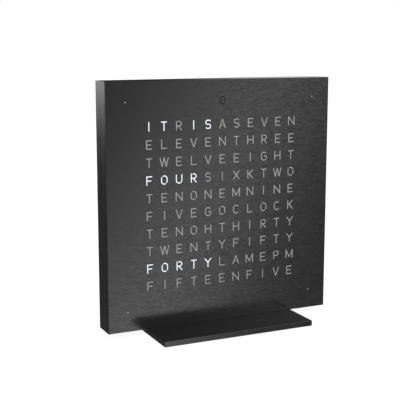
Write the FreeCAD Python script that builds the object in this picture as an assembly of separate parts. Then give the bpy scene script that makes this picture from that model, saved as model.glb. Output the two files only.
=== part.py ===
import FreeCAD, Part
import math
import os

# Word clock for a desk: a square box 15 mm deep that stands upright on a flat steel base plate.
# Millimetres. X runs to the right along the front, the front faces -Y, and Z is up.
# The origin is at the bottom centre of the whole clock, on the surface that it stands on.
# "Depth" is measured from the front face towards the back, and "level" from the face's centre up.

# ---------------------------------------------------------------- overall sizes
FACE = 135.0                    # side of the square front
BODY_DEPTH = 15.0               # front face to rear face
PLATE_WIDTH = 90.0              # base plate, left to right
PLATE_DEPTH = 60.0              # base plate, front to back
PLATE_THICK = 3.0
PLATE_IN_FRONT = 23.85          # how far the base plate reaches in front of the face

# ---------------------------------------------------------------- foot pads
PAD_DIA = 10.0
PAD_THICK = 1.2
PAD_PROUD = 0.5                 # how far a pad stands out of the base plate
PAD_INSET = 9.0                 # pad centre to the plate's edges
PAD_GAP = 0.1                   # pad to the wall of its pocket

# ---------------------------------------------------------------- front cover
COVER_THICK = 1.0
COVER_FOOT_GAP = 0.08           # cover's lower edge to the base plate
EDGE_BREAK = 0.1                # small chamfer on outer sheet edges
DOT_DIA = 0.65                  # minute dot in each corner
DOT_INSET = 11.0                # dot centre to the edges of the face
RING_WIDE = 2.9                 # touch mark, an upright oval ring
RING_HIGH = 4.3
RING_LINE = 0.4                 # width of its engraved line
RING_CUT = 0.2                  # depth of its engraved line
RING_INSET = 11.4               # its centre to the top edge of the face

# ---------------------------------------------------------------- letter field
LETTER_ROWS = (
    "ITRISASEVEN",
    "ELEVENTHREE",
    "TWELVEEIGHT",
    "FOURSIXKTWO",
    "TENONEMNINE",
    "FIVEGOCLOCK",
    "TENOHTHIRTY",
    "TWENTYFIFTY",
    "FORTYLAMEPM",
    "FIFTEENFIVE",
)
PITCH_X = 8.67                  # letter centre to letter centre, along a row
PITCH_Z = 9.633                 # row to row
LETTER_HEIGHT = 5.0
STROKE = 0.55                   # width of a letter's line
BRIDGE = 0.55                   # width of the stencil bridges
SQUARE_END = 0.5                # line widths that a square end adds
LONG_END = 1.5                  # line widths that a slanting stroke runs on before it is cut off
HALF_WIDE = 2.35                # half widths of the letters, to the middle of the line
HALF_M = 2.1
HALF_N = 1.8
HALF_H = 1.72
HALF_ROUND = 1.62
HALF_NARROW = 1.42
BOWL_RADIUS = 1.2               # bowl of P and R
BOWL_REACH = 0.2                # centre of that bowl, right of the letter's centre
M_DIP = 0.5                     # lowest point of the M, above its foot line
K_JOINT = 0.35                  # where the K's arm meets its stem, below the centre
K_BRANCH = 0.3                  # share of the K's arm from which its leg starts
Y_FORK = 0.1                    # where the Y forks, above the centre
A_BAR = 0.75                    # crossbar of the A, below the centre
C_OPENING = 38.0                # degrees above and below the level, where C and G end
S_HOOK = 62.0                   # degrees that the ends of the S curl round

# ---------------------------------------------------------------- opal infill behind the cover
INFILL_BACKING = 0.5            # sheet of resin behind the steel
INFILL_MARGIN = 1.5             # backing's edge to the corner posts
INFILL_SINK = 0.04              # how far the resin ends below the face
INFILL_GAP = 0.02               # shrinkage round each letter
STUD_DIA = 2.5
STUD_LENGTH = 3.0
STUD_GAP = 0.08                 # running fit of the studs in the light grid
STUD_HOLE_GAP = 0.2             # studs to the resin backing
STUD_INSET = 5.5                # stud centre to the light grid's side edge
STUD_LEVEL = 30.0

# ---------------------------------------------------------------- housing
WALL = 2.5
POST = 5.0                      # square corner posts, inside the walls
LUG_REACH = 5.0                 # board lugs, inwards from the side walls
LUG_HIGH = 8.0
LUG_LONG = 4.0
LUG_LEVEL = 40.0
MAGNET_DIA = 5.0
MAGNET_LONG = 3.0
MAGNET_INSET = 4.0              # magnet centre to the edges of the face
MAGNET_SINK = 0.1               # magnets lie this far below the rim
MAGNET_GAP = 0.05

# ---------------------------------------------------------------- light grid, board and lamps
GRID_GAP = 0.3                  # resin backing to light grid
GRID_SIDE_GAP = 0.5             # light grid to posts and lugs
CELL_WALL = 1.2
DOT_WELL_DIA = 2.6
BOARD_THICK = 1.6
EAR_GAP = 0.3                   # board ears to the side walls
LED_WIDE = 2.8
LED_HIGH = 3.5
LED_THICK = 0.7
LED_LENS_DIA = 2.2
LED_LENS_THICK = 0.12
DOT_LED_WIDE = 0.8
DOT_LED_HIGH = 1.6
DOT_LED_THICK = 0.6

# ---------------------------------------------------------------- touch spring
TOUCH_INSET = 6.5               # middle of the spring to the light grid's top edge
TOUCH_WIDE = 2.0
TOUCH_LONG = 2.6
TOUCH_STRIP = 0.2
TOUCH_GAP = 0.1                 # tip of the spring to the steel cover
TOUCH_HOLE_DIA = 4.4

# ---------------------------------------------------------------- parts on the back of the board
CHIP_SIDE = 10.0
CHIP_THICK = 1.2
CHIP_LIFT = 0.1
CHIP_LEADS = 11                 # leads on each side
CHIP_LEAD_WIDE = 0.35
CHIP_LEAD_PITCH = 0.8
CHIP_LEAD_REACH = 1.0
CHIP_LEAD_THICK = 0.2
CHIP_X = -14.0
CHIP_LEVEL = 6.0
DRIVER_SIDE = 6.0
DRIVER_THICK = 0.9
DRIVER_X = 32.0
DRIVER_LEVEL = 20.0
CRYSTAL_DIA = 2.0
CRYSTAL_LONG = 6.0
CRYSTAL_X = -27.0
CELL_DIA = 20.0
CELL_THICK = 2.5
CELL_PAD_DIA = 10.0
CELL_X = 12.0
CELL_LEVEL = -6.0
CLIP_STRIP = 0.3
CLIP_WIDE = 5.0
CLIP_GAP = 0.4                  # clip's legs to the coin cell
CLIP_FOOT = 2.5
BUZZER_DIA = 12.0
BUZZER_THICK = 2.8
BUZZER_PORT_DIA = 3.0
BUZZER_PORT_DEEP = 0.6
BUZZER_X = -38.0
BUZZER_LEVEL = -30.0
SENSOR_SIDE = 2.0
SENSOR_THICK = 0.8
SENSOR_X = -38.0
SENSOR_LEVEL = 44.0
PIPE_DIA = 3.0
PIPE_GAP = 0.05
PIPE_FLANGE_DIA = 4.6
PIPE_FLANGE_THICK = 0.8
PIPE_SENSOR_GAP = 0.4
SOCKET_WIDE = 9.0
SOCKET_HIGH = 3.3
SOCKET_WALL = 0.3
SOCKET_FLOOR = 1.0
SOCKET_GAP = 0.3                # socket to the rear cover's slot
TONGUE_WIDE = 6.7
TONGUE_THICK = 0.7
TONGUE_LONG = 3.8
SOCKET_X = 0.0
SOCKET_LEVEL = -44.0

# ---------------------------------------------------------------- buttons and their switches
BUTTON_DIA = 6.0
BUTTON_PROUD = 0.8
BUTTON_FLANGE_DIA = 8.0
BUTTON_FLANGE_THICK = 0.8
BUTTON_FLANGE_GAP = 0.2         # flange to the inside of the rear cover
BUTTON_GAP = 0.1                # running fit in the rear cover
BUTTON_SIGNS = (("minus", "minus"), ("plus", "plus"), ("alarm", "ring"), ("mode", "square"))
BUTTON_PITCH = 14.0
BUTTON_LEVEL = 44.0
BUTTON_EDGE = 0.3
BUTTON_TRAVEL = 0.4
SIGN_CUT = 0.2
SIGN_LINE = 0.5
SIGN_SIZE = 2.6
SWITCH_SIDE = 6.0
SWITCH_THICK = 1.8
PLUNGER_DIA = 2.5
PLUNGER_GAP = 0.1
PLUNGER_IN = 0.6                # part of the plunger inside the switch
PLUNGER_FLOOR = 0.2             # left under the plunger at the end of its travel

# ---------------------------------------------------------------- rear cover
REAR_THICK = 2.0
ROOM_SPARE = 0.5                # tallest part on the board to the rear cover
REAR_GAP = 0.2                  # rear cover to the walls
REAR_CHAMFER = 0.3
VENT_COUNT = 9
VENT_LONG = 26.0
VENT_WIDE = 1.4
VENT_PITCH = 3.6
VENT_LEVEL = 4.0
SOUND_HOLE_DIA = 1.2
SOUND_RING = 3.0                # radius of the ring of sound holes
SOUND_COUNT = 6

# ---------------------------------------------------------------- screws and inserts
M2 = 2.0
M2_HEAD = 3.8
M2_HEAD_HIGH = 1.3
M3 = 3.0
M3_HEAD = 5.6
THREAD_GAP = 0.03               # screw to its thread
SCREW_PLAY = 0.15               # screw to a plain hole, all round
HEAD_SINK = 0.1                 # countersunk heads end below the surface
REAR_SCREW_INSET = 5.5          # rear screws to the edges of the face
REAR_SCREW_LONG = 8.0
BOARD_SCREW_LONG = 5.0
GRID_SCREW_X = 30.0
GRID_SCREW_INSET = 5.5          # grid screws to the light grid's top and bottom edges
GRID_SCREW_LONG = 5.0
HOLE_SPARE = 1.0                # blind holes go on past the screw's tip
CROSS_WIDE = 0.45
CROSS_LONG = 2.0
CROSS_DEEP = 0.6
HEX_ACROSS = 2.0
HEX_DEEP = 1.2
STAND_SCREW_X = 25.0
STAND_SCREW_LONG = 8.0
INSERT_DIA = 4.2
INSERT_LONG = 5.0
BOSS_WIDE = 10.0
BOSS_HIGH = 5.0
BOSS_FRONT_GAP = 2.0            # stand boss to the front cover
BOSS_REAR_GAP = 1.0             # stand boss to the rear cover

# ---------------------------------------------------------------- places worked out from the sizes
PLATE_BOTTOM = PAD_PROUD
PLATE_TOP = PLATE_BOTTOM + PLATE_THICK
FACE_Y = -PLATE_DEPTH / 2 + PLATE_IN_FRONT
CENTRE_Z = PLATE_TOP + FACE / 2
INNER_HALF = FACE / 2 - WALL

BACKING_BACK = COVER_THICK + INFILL_BACKING
GRID_FRONT = BACKING_BACK + GRID_GAP
REAR_INSIDE = BODY_DEPTH - REAR_THICK
BOARD_BACK = REAR_INSIDE - ROOM_SPARE - max(BUZZER_THICK, CELL_THICK + 2 * CLIP_STRIP)
BOARD_FRONT = BOARD_BACK - BOARD_THICK
GRID_HALF = INNER_HALF - max(POST, LUG_REACH, BOSS_HIGH) - GRID_SIDE_GAP
BACKING_HALF = INNER_HALF - POST - INFILL_MARGIN
FIRST_X = -PITCH_X * (len(LETTER_ROWS[0]) - 1) / 2
FIRST_LEVEL = PITCH_Z * (len(LETTER_ROWS) - 1) / 2
DOT_PLACE = FACE / 2 - DOT_INSET
STUD_X = GRID_HALF - STUD_INSET
TOUCH_LEVEL = GRID_HALF - TOUCH_INSET
MAGNET_PLACE = FACE / 2 - MAGNET_INSET
REAR_SCREW_PLACE = FACE / 2 - REAR_SCREW_INSET
BOARD_SCREW_X = INNER_HALF - LUG_REACH / 2
GRID_SCREW_LEVEL = GRID_HALF - GRID_SCREW_INSET
SWITCH_BACK = BOARD_BACK + SWITCH_THICK
FLANGE_BACK = REAR_INSIDE - BUTTON_FLANGE_GAP
FLANGE_FRONT = FLANGE_BACK - BUTTON_FLANGE_THICK
PLUNGER_FRONT = SWITCH_BACK - PLUNGER_IN
FIRST_BUTTON_X = -BUTTON_PITCH * (len(BUTTON_SIGNS) - 1) / 2
BOSS_FRONT = COVER_THICK + BOSS_FRONT_GAP
BOSS_BACK = REAR_INSIDE - BOSS_REAR_GAP
STAND_SCREW_DEPTH = (BOSS_FRONT + BOSS_BACK) / 2
PAD_X = PLATE_WIDTH / 2 - PAD_INSET
PAD_Y = PLATE_DEPTH / 2 - PAD_INSET

SIGNS = (-1, 1)
CORNERS = [(side, end) for end in SIGNS for side in SIGNS]


# ---------------------------------------------------------------- small helpers
def at(x, depth, level):
    """Point of the clock body, from its place on the face and its depth behind it."""
    return FreeCAD.Vector(x, FACE_Y + depth, CENTRE_Z + level)


def block(x0, x1, depth0, depth1, level0, level1):
    """Box of the clock body between two depths."""
    return Part.makeBox(x1 - x0, depth1 - depth0, level1 - level0, at(x0, depth0, level0))


def slab(half, depth0, depth1):
    """Square slab, parallel to the face and centred on it."""
    return block(-half, half, depth0, depth1, -half, half)


def rod(x, level, radius, depth0, depth1):
    """Cylinder that runs straight back from the face."""
    return Part.makeCylinder(radius, depth1 - depth0, at(x, depth0, level), FreeCAD.Vector(0, 1, 0))


def taper(x, level, radius0, radius1, depth0, depth1):
    """Cone that runs straight back from the face."""
    return Part.makeCone(radius0, radius1, depth1 - depth0, at(x, depth0, level),
                         FreeCAD.Vector(0, 1, 0))


def outline(points):
    """Closed flat outline in the plane of the face, from (x, level) points."""
    corners = [FreeCAD.Vector(x, 0, level) for x, level in points]
    return Part.Wire(Part.makePolygon(corners + corners[:1]))


def circle(x, level, radius):
    """Round outline in the plane of the face."""
    return Part.Wire(Part.makeCircle(radius, FreeCAD.Vector(x, 0, level), FreeCAD.Vector(0, 1, 0)))


def rectangle(x, level, wide, high):
    """Outline of a rectangle in the plane of the face."""
    return outline([(x - wide / 2, level - high / 2), (x + wide / 2, level - high / 2),
                    (x + wide / 2, level + high / 2), (x - wide / 2, level + high / 2)])


def slot_outline(x, level, wide, high):
    """Outline of a slot with round ends, lying level."""
    radius = high / 2
    reach = wide / 2 - radius
    top_left = FreeCAD.Vector(x - reach, 0, level + radius)
    top_right = FreeCAD.Vector(x + reach, 0, level + radius)
    low_right = FreeCAD.Vector(x + reach, 0, level - radius)
    low_left = FreeCAD.Vector(x - reach, 0, level - radius)
    right = FreeCAD.Vector(x + wide / 2, 0, level)
    left = FreeCAD.Vector(x - wide / 2, 0, level)
    return Part.Wire([
        Part.LineSegment(top_left, top_right).toShape(),
        Part.Arc(top_right, right, low_right).toShape(),
        Part.LineSegment(low_right, low_left).toShape(),
        Part.Arc(low_left, left, top_left).toShape(),
    ])


def upright_slot(x, level, wide, high):
    """Outline of a slot with round ends, standing upright."""
    slot = slot_outline(0, 0, high, wide)
    slot.rotate(FreeCAD.Vector(0, 0, 0), FreeCAD.Vector(0, 1, 0), 90)
    slot.translate(FreeCAD.Vector(x, 0, level))
    return slot


def sheet(outer, holes, depth0, depth1):
    """Sheet parallel to the face, from its outline and the outlines of its holes."""
    face = Part.makeFace([outer] + holes, "Part::FaceMakerBullseye")
    face.translate(at(0, depth0, 0))
    return face.extrude(FreeCAD.Vector(0, depth1 - depth0, 0)).Solids[0]


def join(shapes):
    """One solid from shapes that touch or overlap."""
    return shapes[0].multiFuse(shapes[1:]).removeSplitter()


# ---------------------------------------------------------------- letters, as a stencil of strokes
def line(start, end, stroke, before, after):
    """Straight stroke, made longer at its start and at its end by so many line widths."""
    length = math.hypot(end[0] - start[0], end[1] - start[1])
    across_x = (end[0] - start[0]) / length
    across_z = (end[1] - start[1]) / length
    first = (start[0] - across_x * stroke * before, start[1] - across_z * stroke * before)
    last = (end[0] + across_x * stroke * after, end[1] + across_z * stroke * after)
    side_x = -across_z * stroke / 2
    side_z = across_x * stroke / 2
    return Part.Face(outline([(first[0] + side_x, first[1] + side_z), (last[0] + side_x, last[1] + side_z),
                              (last[0] - side_x, last[1] - side_z), (first[0] - side_x, first[1] - side_z)]))


def bar(start, end, stroke):
    """Straight stroke with square ends, half a line width past each end."""
    return line(start, end, stroke, SQUARE_END, SQUARE_END)


def cut_bar(start, end, stroke):
    """Straight stroke that ends exactly at its two points."""
    return line(start, end, stroke, 0, 0)


def slant(start, end, stroke):
    """Slanting stroke that runs on past both ends, to be cut off at the letter's edges."""
    return line(start, end, stroke, LONG_END, LONG_END)


def branch(start, end, stroke):
    """Slanting stroke that starts on another stroke, and is cut off at the letter's edge."""
    return line(start, end, stroke, 0, LONG_END)


def arc_point(centre, radius, angle):
    """Point on an arc in the plane of the face, with the angle in degrees from +X."""
    turn = math.radians(angle)
    return FreeCAD.Vector(centre[0] + radius * math.cos(turn), 0, centre[1] + radius * math.sin(turn))


def curve(centre, radius, angle0, angle1, stroke):
    """Round stroke from one angle to another."""
    middle = (angle0 + angle1) / 2
    edges = []
    for reach, first, last in ((radius + stroke / 2, angle0, angle1),
                               (radius - stroke / 2, angle1, angle0)):
        edges.append(Part.Arc(arc_point(centre, reach, first), arc_point(centre, reach, middle),
                              arc_point(centre, reach, last)).toShape())
    outer, inner = edges
    closing = [Part.LineSegment(outer.Vertexes[-1].Point, inner.Vertexes[0].Point).toShape(),
               Part.LineSegment(inner.Vertexes[-1].Point, outer.Vertexes[0].Point).toShape()]
    return Part.Face(Part.Wire(Part.__sortEdges__([outer, closing[0], inner, closing[1]])))


def letter_strokes(letter, stroke, top):
    """Strokes of one letter, centred on the origin. top is the middle of its highest line."""
    foot = -top
    if letter == "I":
        return [bar((0, foot), (0, top), stroke)]
    if letter == "T":
        return [bar((-HALF_NARROW, top), (HALF_NARROW, top), stroke), bar((0, foot), (0, top), stroke)]
    if letter == "L":
        return [bar((-HALF_NARROW, foot), (-HALF_NARROW, top), stroke),
                bar((-HALF_NARROW, foot), (HALF_NARROW, foot), stroke)]
    if letter in "EF":
        strokes = [bar((-HALF_NARROW, foot), (-HALF_NARROW, top), stroke),
                   bar((-HALF_NARROW, top), (HALF_NARROW, top), stroke),
                   bar((-HALF_NARROW, 0), (HALF_NARROW - stroke, 0), stroke)]
        if letter == "E":
            strokes.append(bar((-HALF_NARROW, foot), (HALF_NARROW, foot), stroke))
        return strokes
    if letter == "H":
        return [bar((side * HALF_H, foot), (side * HALF_H, top), stroke) for side in SIGNS] + \
               [bar((-HALF_H, 0), (HALF_H, 0), stroke)]
    if letter == "N":
        return [bar((side * HALF_N, foot), (side * HALF_N, top), stroke) for side in SIGNS] + \
               [slant((-HALF_N, top), (HALF_N, foot), stroke)]
    if letter == "M":
        return [bar((side * HALF_M, foot), (side * HALF_M, top), stroke) for side in SIGNS] + \
               [line((0, foot + M_DIP), (side * HALF_M, top), stroke, SQUARE_END, LONG_END)
                for side in SIGNS]
    if letter == "V":
        return [slant((side * HALF_H, top), (0, foot - stroke / 2), stroke) for side in SIGNS]
    if letter == "W":
        strokes = []
        for side in SIGNS:
            low = (side * HALF_WIDE / 2, foot - stroke / 2)
            strokes.append(slant((side * HALF_WIDE, top), low, stroke))
            strokes.append(slant((0, top + stroke / 2), low, stroke))
        return strokes
    if letter == "X":
        return [slant((side * HALF_H, top), (-side * HALF_H, foot), stroke) for side in SIGNS]
    if letter == "Y":
        return [branch((0, Y_FORK), (side * HALF_H, top), stroke) for side in SIGNS] + \
               [bar((0, foot), (0, Y_FORK), stroke)]
    if letter == "K":
        start = (HALF_NARROW * (2 * K_BRANCH - 1), K_BRANCH * (top + K_JOINT) - K_JOINT)
        return [bar((-HALF_NARROW, foot), (-HALF_NARROW, top), stroke),
                branch((-HALF_NARROW, -K_JOINT), (HALF_NARROW, top), stroke),
                branch(start, (HALF_NARROW, foot), stroke)]
    if letter == "A":
        apex = top + stroke / 2
        at_bar = HALF_H * (apex + A_BAR) / (apex + top)
        return [slant((side * HALF_H, foot), (0, apex), stroke) for side in SIGNS] + \
               [cut_bar((side * BRIDGE / 2, -A_BAR), (side * at_bar, -A_BAR), stroke) for side in SIGNS]
    if letter == "U":
        low = foot + HALF_ROUND
        return [bar((side * HALF_ROUND, low), (side * HALF_ROUND, top), stroke) for side in SIGNS] + \
               [curve((0, low), HALF_ROUND, 180, 360, stroke)]
    high = top - HALF_ROUND
    if letter == "O":
        gap = math.degrees(BRIDGE / HALF_ROUND) / 2
        halves = []
        for side, turn in ((1, 0), (-1, 180)):
            halves.append(join([
                curve((0, side * high), HALF_ROUND, turn, turn + 135 - gap, stroke),
                cut_bar((side * HALF_ROUND, -high), (side * HALF_ROUND, high), stroke),
                curve((0, -side * high), HALF_ROUND, turn - 45 + gap, turn, stroke)]))
        return halves
    if letter in "CG":
        strokes = [curve((0, high), HALF_ROUND, C_OPENING, 180, stroke),
                   cut_bar((-HALF_ROUND, -high), (-HALF_ROUND, high), stroke)]
        if letter == "C":
            strokes.append(curve((0, -high), HALF_ROUND, 180, 360 - C_OPENING, stroke))
        else:
            strokes += [curve((0, -high), HALF_ROUND, 180, 360, stroke),
                        cut_bar((HALF_ROUND, -high), (HALF_ROUND, stroke / 2), stroke),
                        bar((stroke / 2, 0), (HALF_ROUND, 0), stroke)]
        return strokes
    if letter == "S":
        radius = top / 2
        reach = HALF_NARROW - radius
        strokes = [bar((-reach, 0), (reach, 0), stroke)]
        for side in SIGNS:
            start = 90 if side > 0 else 270
            strokes += [curve((-side * reach, side * radius), radius, 90, 270, stroke) if side > 0
                        else curve((reach, -radius), radius, -90, 90, stroke),
                        cut_bar((-reach, side * top), (reach, side * top), stroke),
                        curve((side * reach, side * radius), radius, start - S_HOOK, start, stroke)]
        return strokes
    # P and R: the bowl starts one bridge away from the stem, so that its middle stays in the sheet
    low = top - 2 * BOWL_RADIUS
    strokes = [bar((-HALF_NARROW, foot), (-HALF_NARROW, top), stroke),
               cut_bar((-HALF_NARROW + stroke / 2 + BRIDGE, top), (BOWL_REACH, top), stroke),
               curve((BOWL_REACH, top - BOWL_RADIUS), BOWL_RADIUS, -90, 90, stroke),
               cut_bar((-HALF_NARROW, low), (BOWL_REACH, low), stroke)]
    if letter == "R":
        strokes.append(branch((BOWL_REACH - stroke, low), (HALF_NARROW, foot), stroke))
    return strokes


def letter_faces(letter, shrink):
    """Flat faces of one letter, each the outline of one cut-out, made smaller all round by shrink."""
    stroke = STROKE - 2 * shrink
    top = (LETTER_HEIGHT - STROKE) / 2
    strokes = letter_strokes(letter, stroke, top)
    whole = join(strokes) if len(strokes) > 1 else strokes[0]
    half = {"N": HALF_N, "M": HALF_M}.get(letter, HALF_WIDE) + stroke / 2
    return whole.common(Part.Face(rectangle(0, 0, 2 * half, 2 * top + stroke))).removeSplitter().Faces


def letter_places():
    """Each letter with its place on the face."""
    for row, text in enumerate(LETTER_ROWS):
        for column, letter in enumerate(text):
            yield letter, FIRST_X + column * PITCH_X, FIRST_LEVEL - row * PITCH_Z


def lettering(shrink):
    """Flat faces of all letters and minute dots, in place on the face."""
    alphabet = {letter: letter_faces(letter, shrink) for letter in sorted(set("".join(LETTER_ROWS)))}
    faces = []
    for letter, x, level in letter_places():
        for face in alphabet[letter]:
            faces.append(face.translated(FreeCAD.Vector(x, 0, level)))
    for side, end in CORNERS:
        faces.append(Part.Face(circle(side * DOT_PLACE, end * DOT_PLACE, DOT_DIA / 2 - shrink)))
    return faces


# ---------------------------------------------------------------- screws
def cross_recess(x, level, depth):
    """Cross in the head of a screw that is driven from behind."""
    arms = []
    for wide, high in ((CROSS_LONG, CROSS_WIDE), (CROSS_WIDE, CROSS_LONG)):
        arms.append(block(x - wide / 2, x + wide / 2, depth - CROSS_DEEP, depth,
                          level - high / 2, level + high / 2))
    return join(arms)


def rear_screw(x, level):
    """Countersunk screw through the rear cover into a corner post."""
    back = BODY_DEPTH - HEAD_SINK
    cone = (M2_HEAD - M2) / 2
    head = taper(x, level, M2 / 2, M2_HEAD / 2, back - cone, back)
    shank = rod(x, level, M2 / 2, back - REAR_SCREW_LONG, back - cone)
    return join([head, shank]).cut(cross_recess(x, level, back))


def pan_screw(x, level, length):
    """Pan head screw that holds the circuit board from behind."""
    back = BOARD_BACK + M2_HEAD_HIGH
    head = rod(x, level, M2_HEAD / 2, BOARD_BACK, back)
    rim = [edge for edge in head.Edges if edge.BoundBox.YMin > FACE_Y + back - EDGE_BREAK]
    head = head.makeFillet(M2_HEAD_HIGH / 2, rim)
    shank = rod(x, level, M2 / 2, BOARD_BACK - length, BOARD_BACK)
    return join([head, shank]).cut(cross_recess(x, level, back))


def stand_screw(x):
    """Countersunk screw that goes up through the base plate."""
    y = FACE_Y + STAND_SCREW_DEPTH
    low = PLATE_BOTTOM + HEAD_SINK
    cone = (M3_HEAD - M3) / 2
    head = Part.makeCone(M3_HEAD / 2, M3 / 2, cone, FreeCAD.Vector(x, y, low))
    shank = Part.makeCylinder(M3 / 2, STAND_SCREW_LONG - cone, FreeCAD.Vector(x, y, low + cone))
    corner = HEX_ACROSS / math.sqrt(3)
    points = [FreeCAD.Vector(x + corner * math.cos(step * math.pi / 3),
                             y + corner * math.sin(step * math.pi / 3), low) for step in range(6)]
    hexagon = Part.Face(Part.Wire(Part.makePolygon(points + points[:1])))
    socket = hexagon.extrude(FreeCAD.Vector(0, 0, HEX_DEEP))
    return join([head, shank]).cut(socket)


# ---------------------------------------------------------------- the front cover and what is on it
def front_cover():
    """Steel sheet with the letters and dots cut through, and an oval ring engraved as touch mark."""
    high = FACE - COVER_FOOT_GAP
    outer = rectangle(0, COVER_FOOT_GAP / 2, FACE, high)
    holes = [face.OuterWire for face in lettering(0)]
    plate = sheet(outer, holes, 0, COVER_THICK)
    front = FACE_Y + EDGE_BREAK
    rim = [edge for edge in plate.Edges if edge.BoundBox.YMax < front and edge.Length > FACE - 2 * WALL]
    plate = plate.makeChamfer(EDGE_BREAK, rim)
    level = FACE / 2 - RING_INSET
    ring = upright_slot(0, level, RING_WIDE, RING_HIGH)
    inside = upright_slot(0, level, RING_WIDE - 2 * RING_LINE, RING_HIGH - 2 * RING_LINE)
    return plate.cut(sheet(ring, [inside], 0, RING_CUT))


def opal_infill():
    """White resin: a thin backing behind the steel, and the letters and dots that it fills."""
    holes = [circle(side * STUD_X, end * STUD_LEVEL, STUD_DIA / 2 + STUD_HOLE_GAP)
             for side, end in CORNERS]
    holes.append(circle(0, TOUCH_LEVEL, TOUCH_HOLE_DIA / 2))
    square = rectangle(0, 0, 2 * BACKING_HALF, 2 * BACKING_HALF)
    backing = sheet(square, holes, COVER_THICK, BACKING_BACK)
    raised = []
    for face in lettering(INFILL_GAP):
        face.translate(at(0, INFILL_SINK, 0))
        raised.append(face.extrude(FreeCAD.Vector(0, COVER_THICK - INFILL_SINK, 0)))
    return join([backing] + raised)


def locating_studs():
    """Studs welded to the back of the cover, which find their holes in the light grid."""
    studs = []
    for side, end in CORNERS:
        tip = COVER_THICK + STUD_LENGTH
        stud = rod(side * STUD_X, end * STUD_LEVEL, STUD_DIA / 2, COVER_THICK, tip)
        rim = [edge for edge in stud.Edges if edge.BoundBox.YMin > FACE_Y + tip - EDGE_BREAK]
        studs.append(stud.makeChamfer(2 * EDGE_BREAK, rim))
    return Part.Compound(studs)


# ---------------------------------------------------------------- housing and rear cover
def housing():
    """Square frame with corner posts, lugs for the board and bosses for the stand screws."""
    frame = slab(FACE / 2, COVER_THICK, BODY_DEPTH)
    rear = FACE_Y + BODY_DEPTH - EDGE_BREAK
    rim = [edge for edge in frame.Edges if edge.BoundBox.YMin > rear]
    frame = frame.makeChamfer(REAR_CHAMFER, rim)
    frame = frame.cut(slab(INNER_HALF, COVER_THICK, BODY_DEPTH))
    parts = [frame]
    inner = INNER_HALF - POST
    for side, end in CORNERS:
        x0, x1 = sorted((side * inner, side * INNER_HALF))
        level0, level1 = sorted((end * inner, end * INNER_HALF))
        parts.append(block(x0, x1, COVER_THICK, REAR_INSIDE, level0, level1))
        x0, x1 = sorted((side * (INNER_HALF - LUG_REACH), side * INNER_HALF))
        middle = end * LUG_LEVEL
        parts.append(block(x0, x1, BOARD_FRONT - LUG_LONG, BOARD_FRONT,
                           middle - LUG_HIGH / 2, middle + LUG_HIGH / 2))
    for side in SIGNS:
        x = side * STAND_SCREW_X
        parts.append(block(x - BOSS_WIDE / 2, x + BOSS_WIDE / 2, BOSS_FRONT, BOSS_BACK,
                           -INNER_HALF, -INNER_HALF + BOSS_HIGH))
    body = join(parts)
    holes = []
    for side, end in CORNERS:
        holes.append(rod(side * MAGNET_PLACE, end * MAGNET_PLACE, MAGNET_DIA / 2 + MAGNET_GAP,
                         COVER_THICK, COVER_THICK + MAGNET_SINK + MAGNET_LONG))
        tip = BODY_DEPTH - HEAD_SINK - REAR_SCREW_LONG - HOLE_SPARE
        holes.append(rod(side * REAR_SCREW_PLACE, end * REAR_SCREW_PLACE, M2 / 2 + THREAD_GAP,
                         tip, REAR_INSIDE))
        holes.append(rod(side * BOARD_SCREW_X, end * LUG_LEVEL, M2 / 2 + THREAD_GAP,
                         BOARD_FRONT - LUG_LONG, BOARD_FRONT))
    for side in SIGNS:
        y = FACE_Y + STAND_SCREW_DEPTH
        deep = STAND_SCREW_LONG + HEAD_SINK - PLATE_THICK + HOLE_SPARE
        holes.append(Part.makeCylinder(INSERT_DIA / 2 + THREAD_GAP, max(deep, INSERT_LONG),
                                       FreeCAD.Vector(side * STAND_SCREW_X, y, PLATE_TOP)))
    return body.cut(Part.Compound(holes))


def rear_cover():
    """Flat cover let into the back of the housing, with its holes, vents and sound holes."""
    half = INNER_HALF - REAR_GAP
    holes = [circle(side * REAR_SCREW_PLACE, end * REAR_SCREW_PLACE, M2 / 2 + SCREW_PLAY)
             for side, end in CORNERS]
    for x in button_places():
        holes.append(circle(x, BUTTON_LEVEL, BUTTON_DIA / 2 + BUTTON_GAP))
    holes.append(circle(SENSOR_X, SENSOR_LEVEL, PIPE_DIA / 2 + PIPE_GAP))
    holes.append(slot_outline(SOCKET_X, SOCKET_LEVEL, SOCKET_WIDE + 2 * SOCKET_GAP,
                              SOCKET_HIGH + 2 * SOCKET_GAP))
    first = VENT_LEVEL - VENT_PITCH * (VENT_COUNT - 1) / 2
    for side in SIGNS:
        for step in range(VENT_COUNT):
            holes.append(slot_outline(side * DRIVER_X, first + step * VENT_PITCH, VENT_LONG, VENT_WIDE))
    holes.append(circle(BUZZER_X, BUZZER_LEVEL, SOUND_HOLE_DIA / 2))
    for step in range(SOUND_COUNT):
        turn = 2 * math.pi * step / SOUND_COUNT
        holes.append(circle(BUZZER_X + SOUND_RING * math.cos(turn),
                            BUZZER_LEVEL + SOUND_RING * math.sin(turn), SOUND_HOLE_DIA / 2))
    cover = sheet(rectangle(0, 0, 2 * half, 2 * half), holes, REAR_INSIDE, BODY_DEPTH)
    rear = FACE_Y + BODY_DEPTH - EDGE_BREAK
    rim = [edge for edge in cover.Edges if edge.BoundBox.YMin > rear and edge.Length > FACE / 2]
    cover = cover.makeChamfer(REAR_CHAMFER, rim)
    cone = (M2_HEAD - M2) / 2
    sinks = []
    for side, end in CORNERS:
        x = side * REAR_SCREW_PLACE
        level = end * REAR_SCREW_PLACE
        wide = M2_HEAD / 2 + SCREW_PLAY
        deep = BODY_DEPTH - HEAD_SINK
        sinks.append(taper(x, level, M2 / 2 + SCREW_PLAY, wide, deep - cone, deep))
        sinks.append(rod(x, level, wide, deep, BODY_DEPTH))
    return cover.cut(Part.Compound(sinks))


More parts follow.
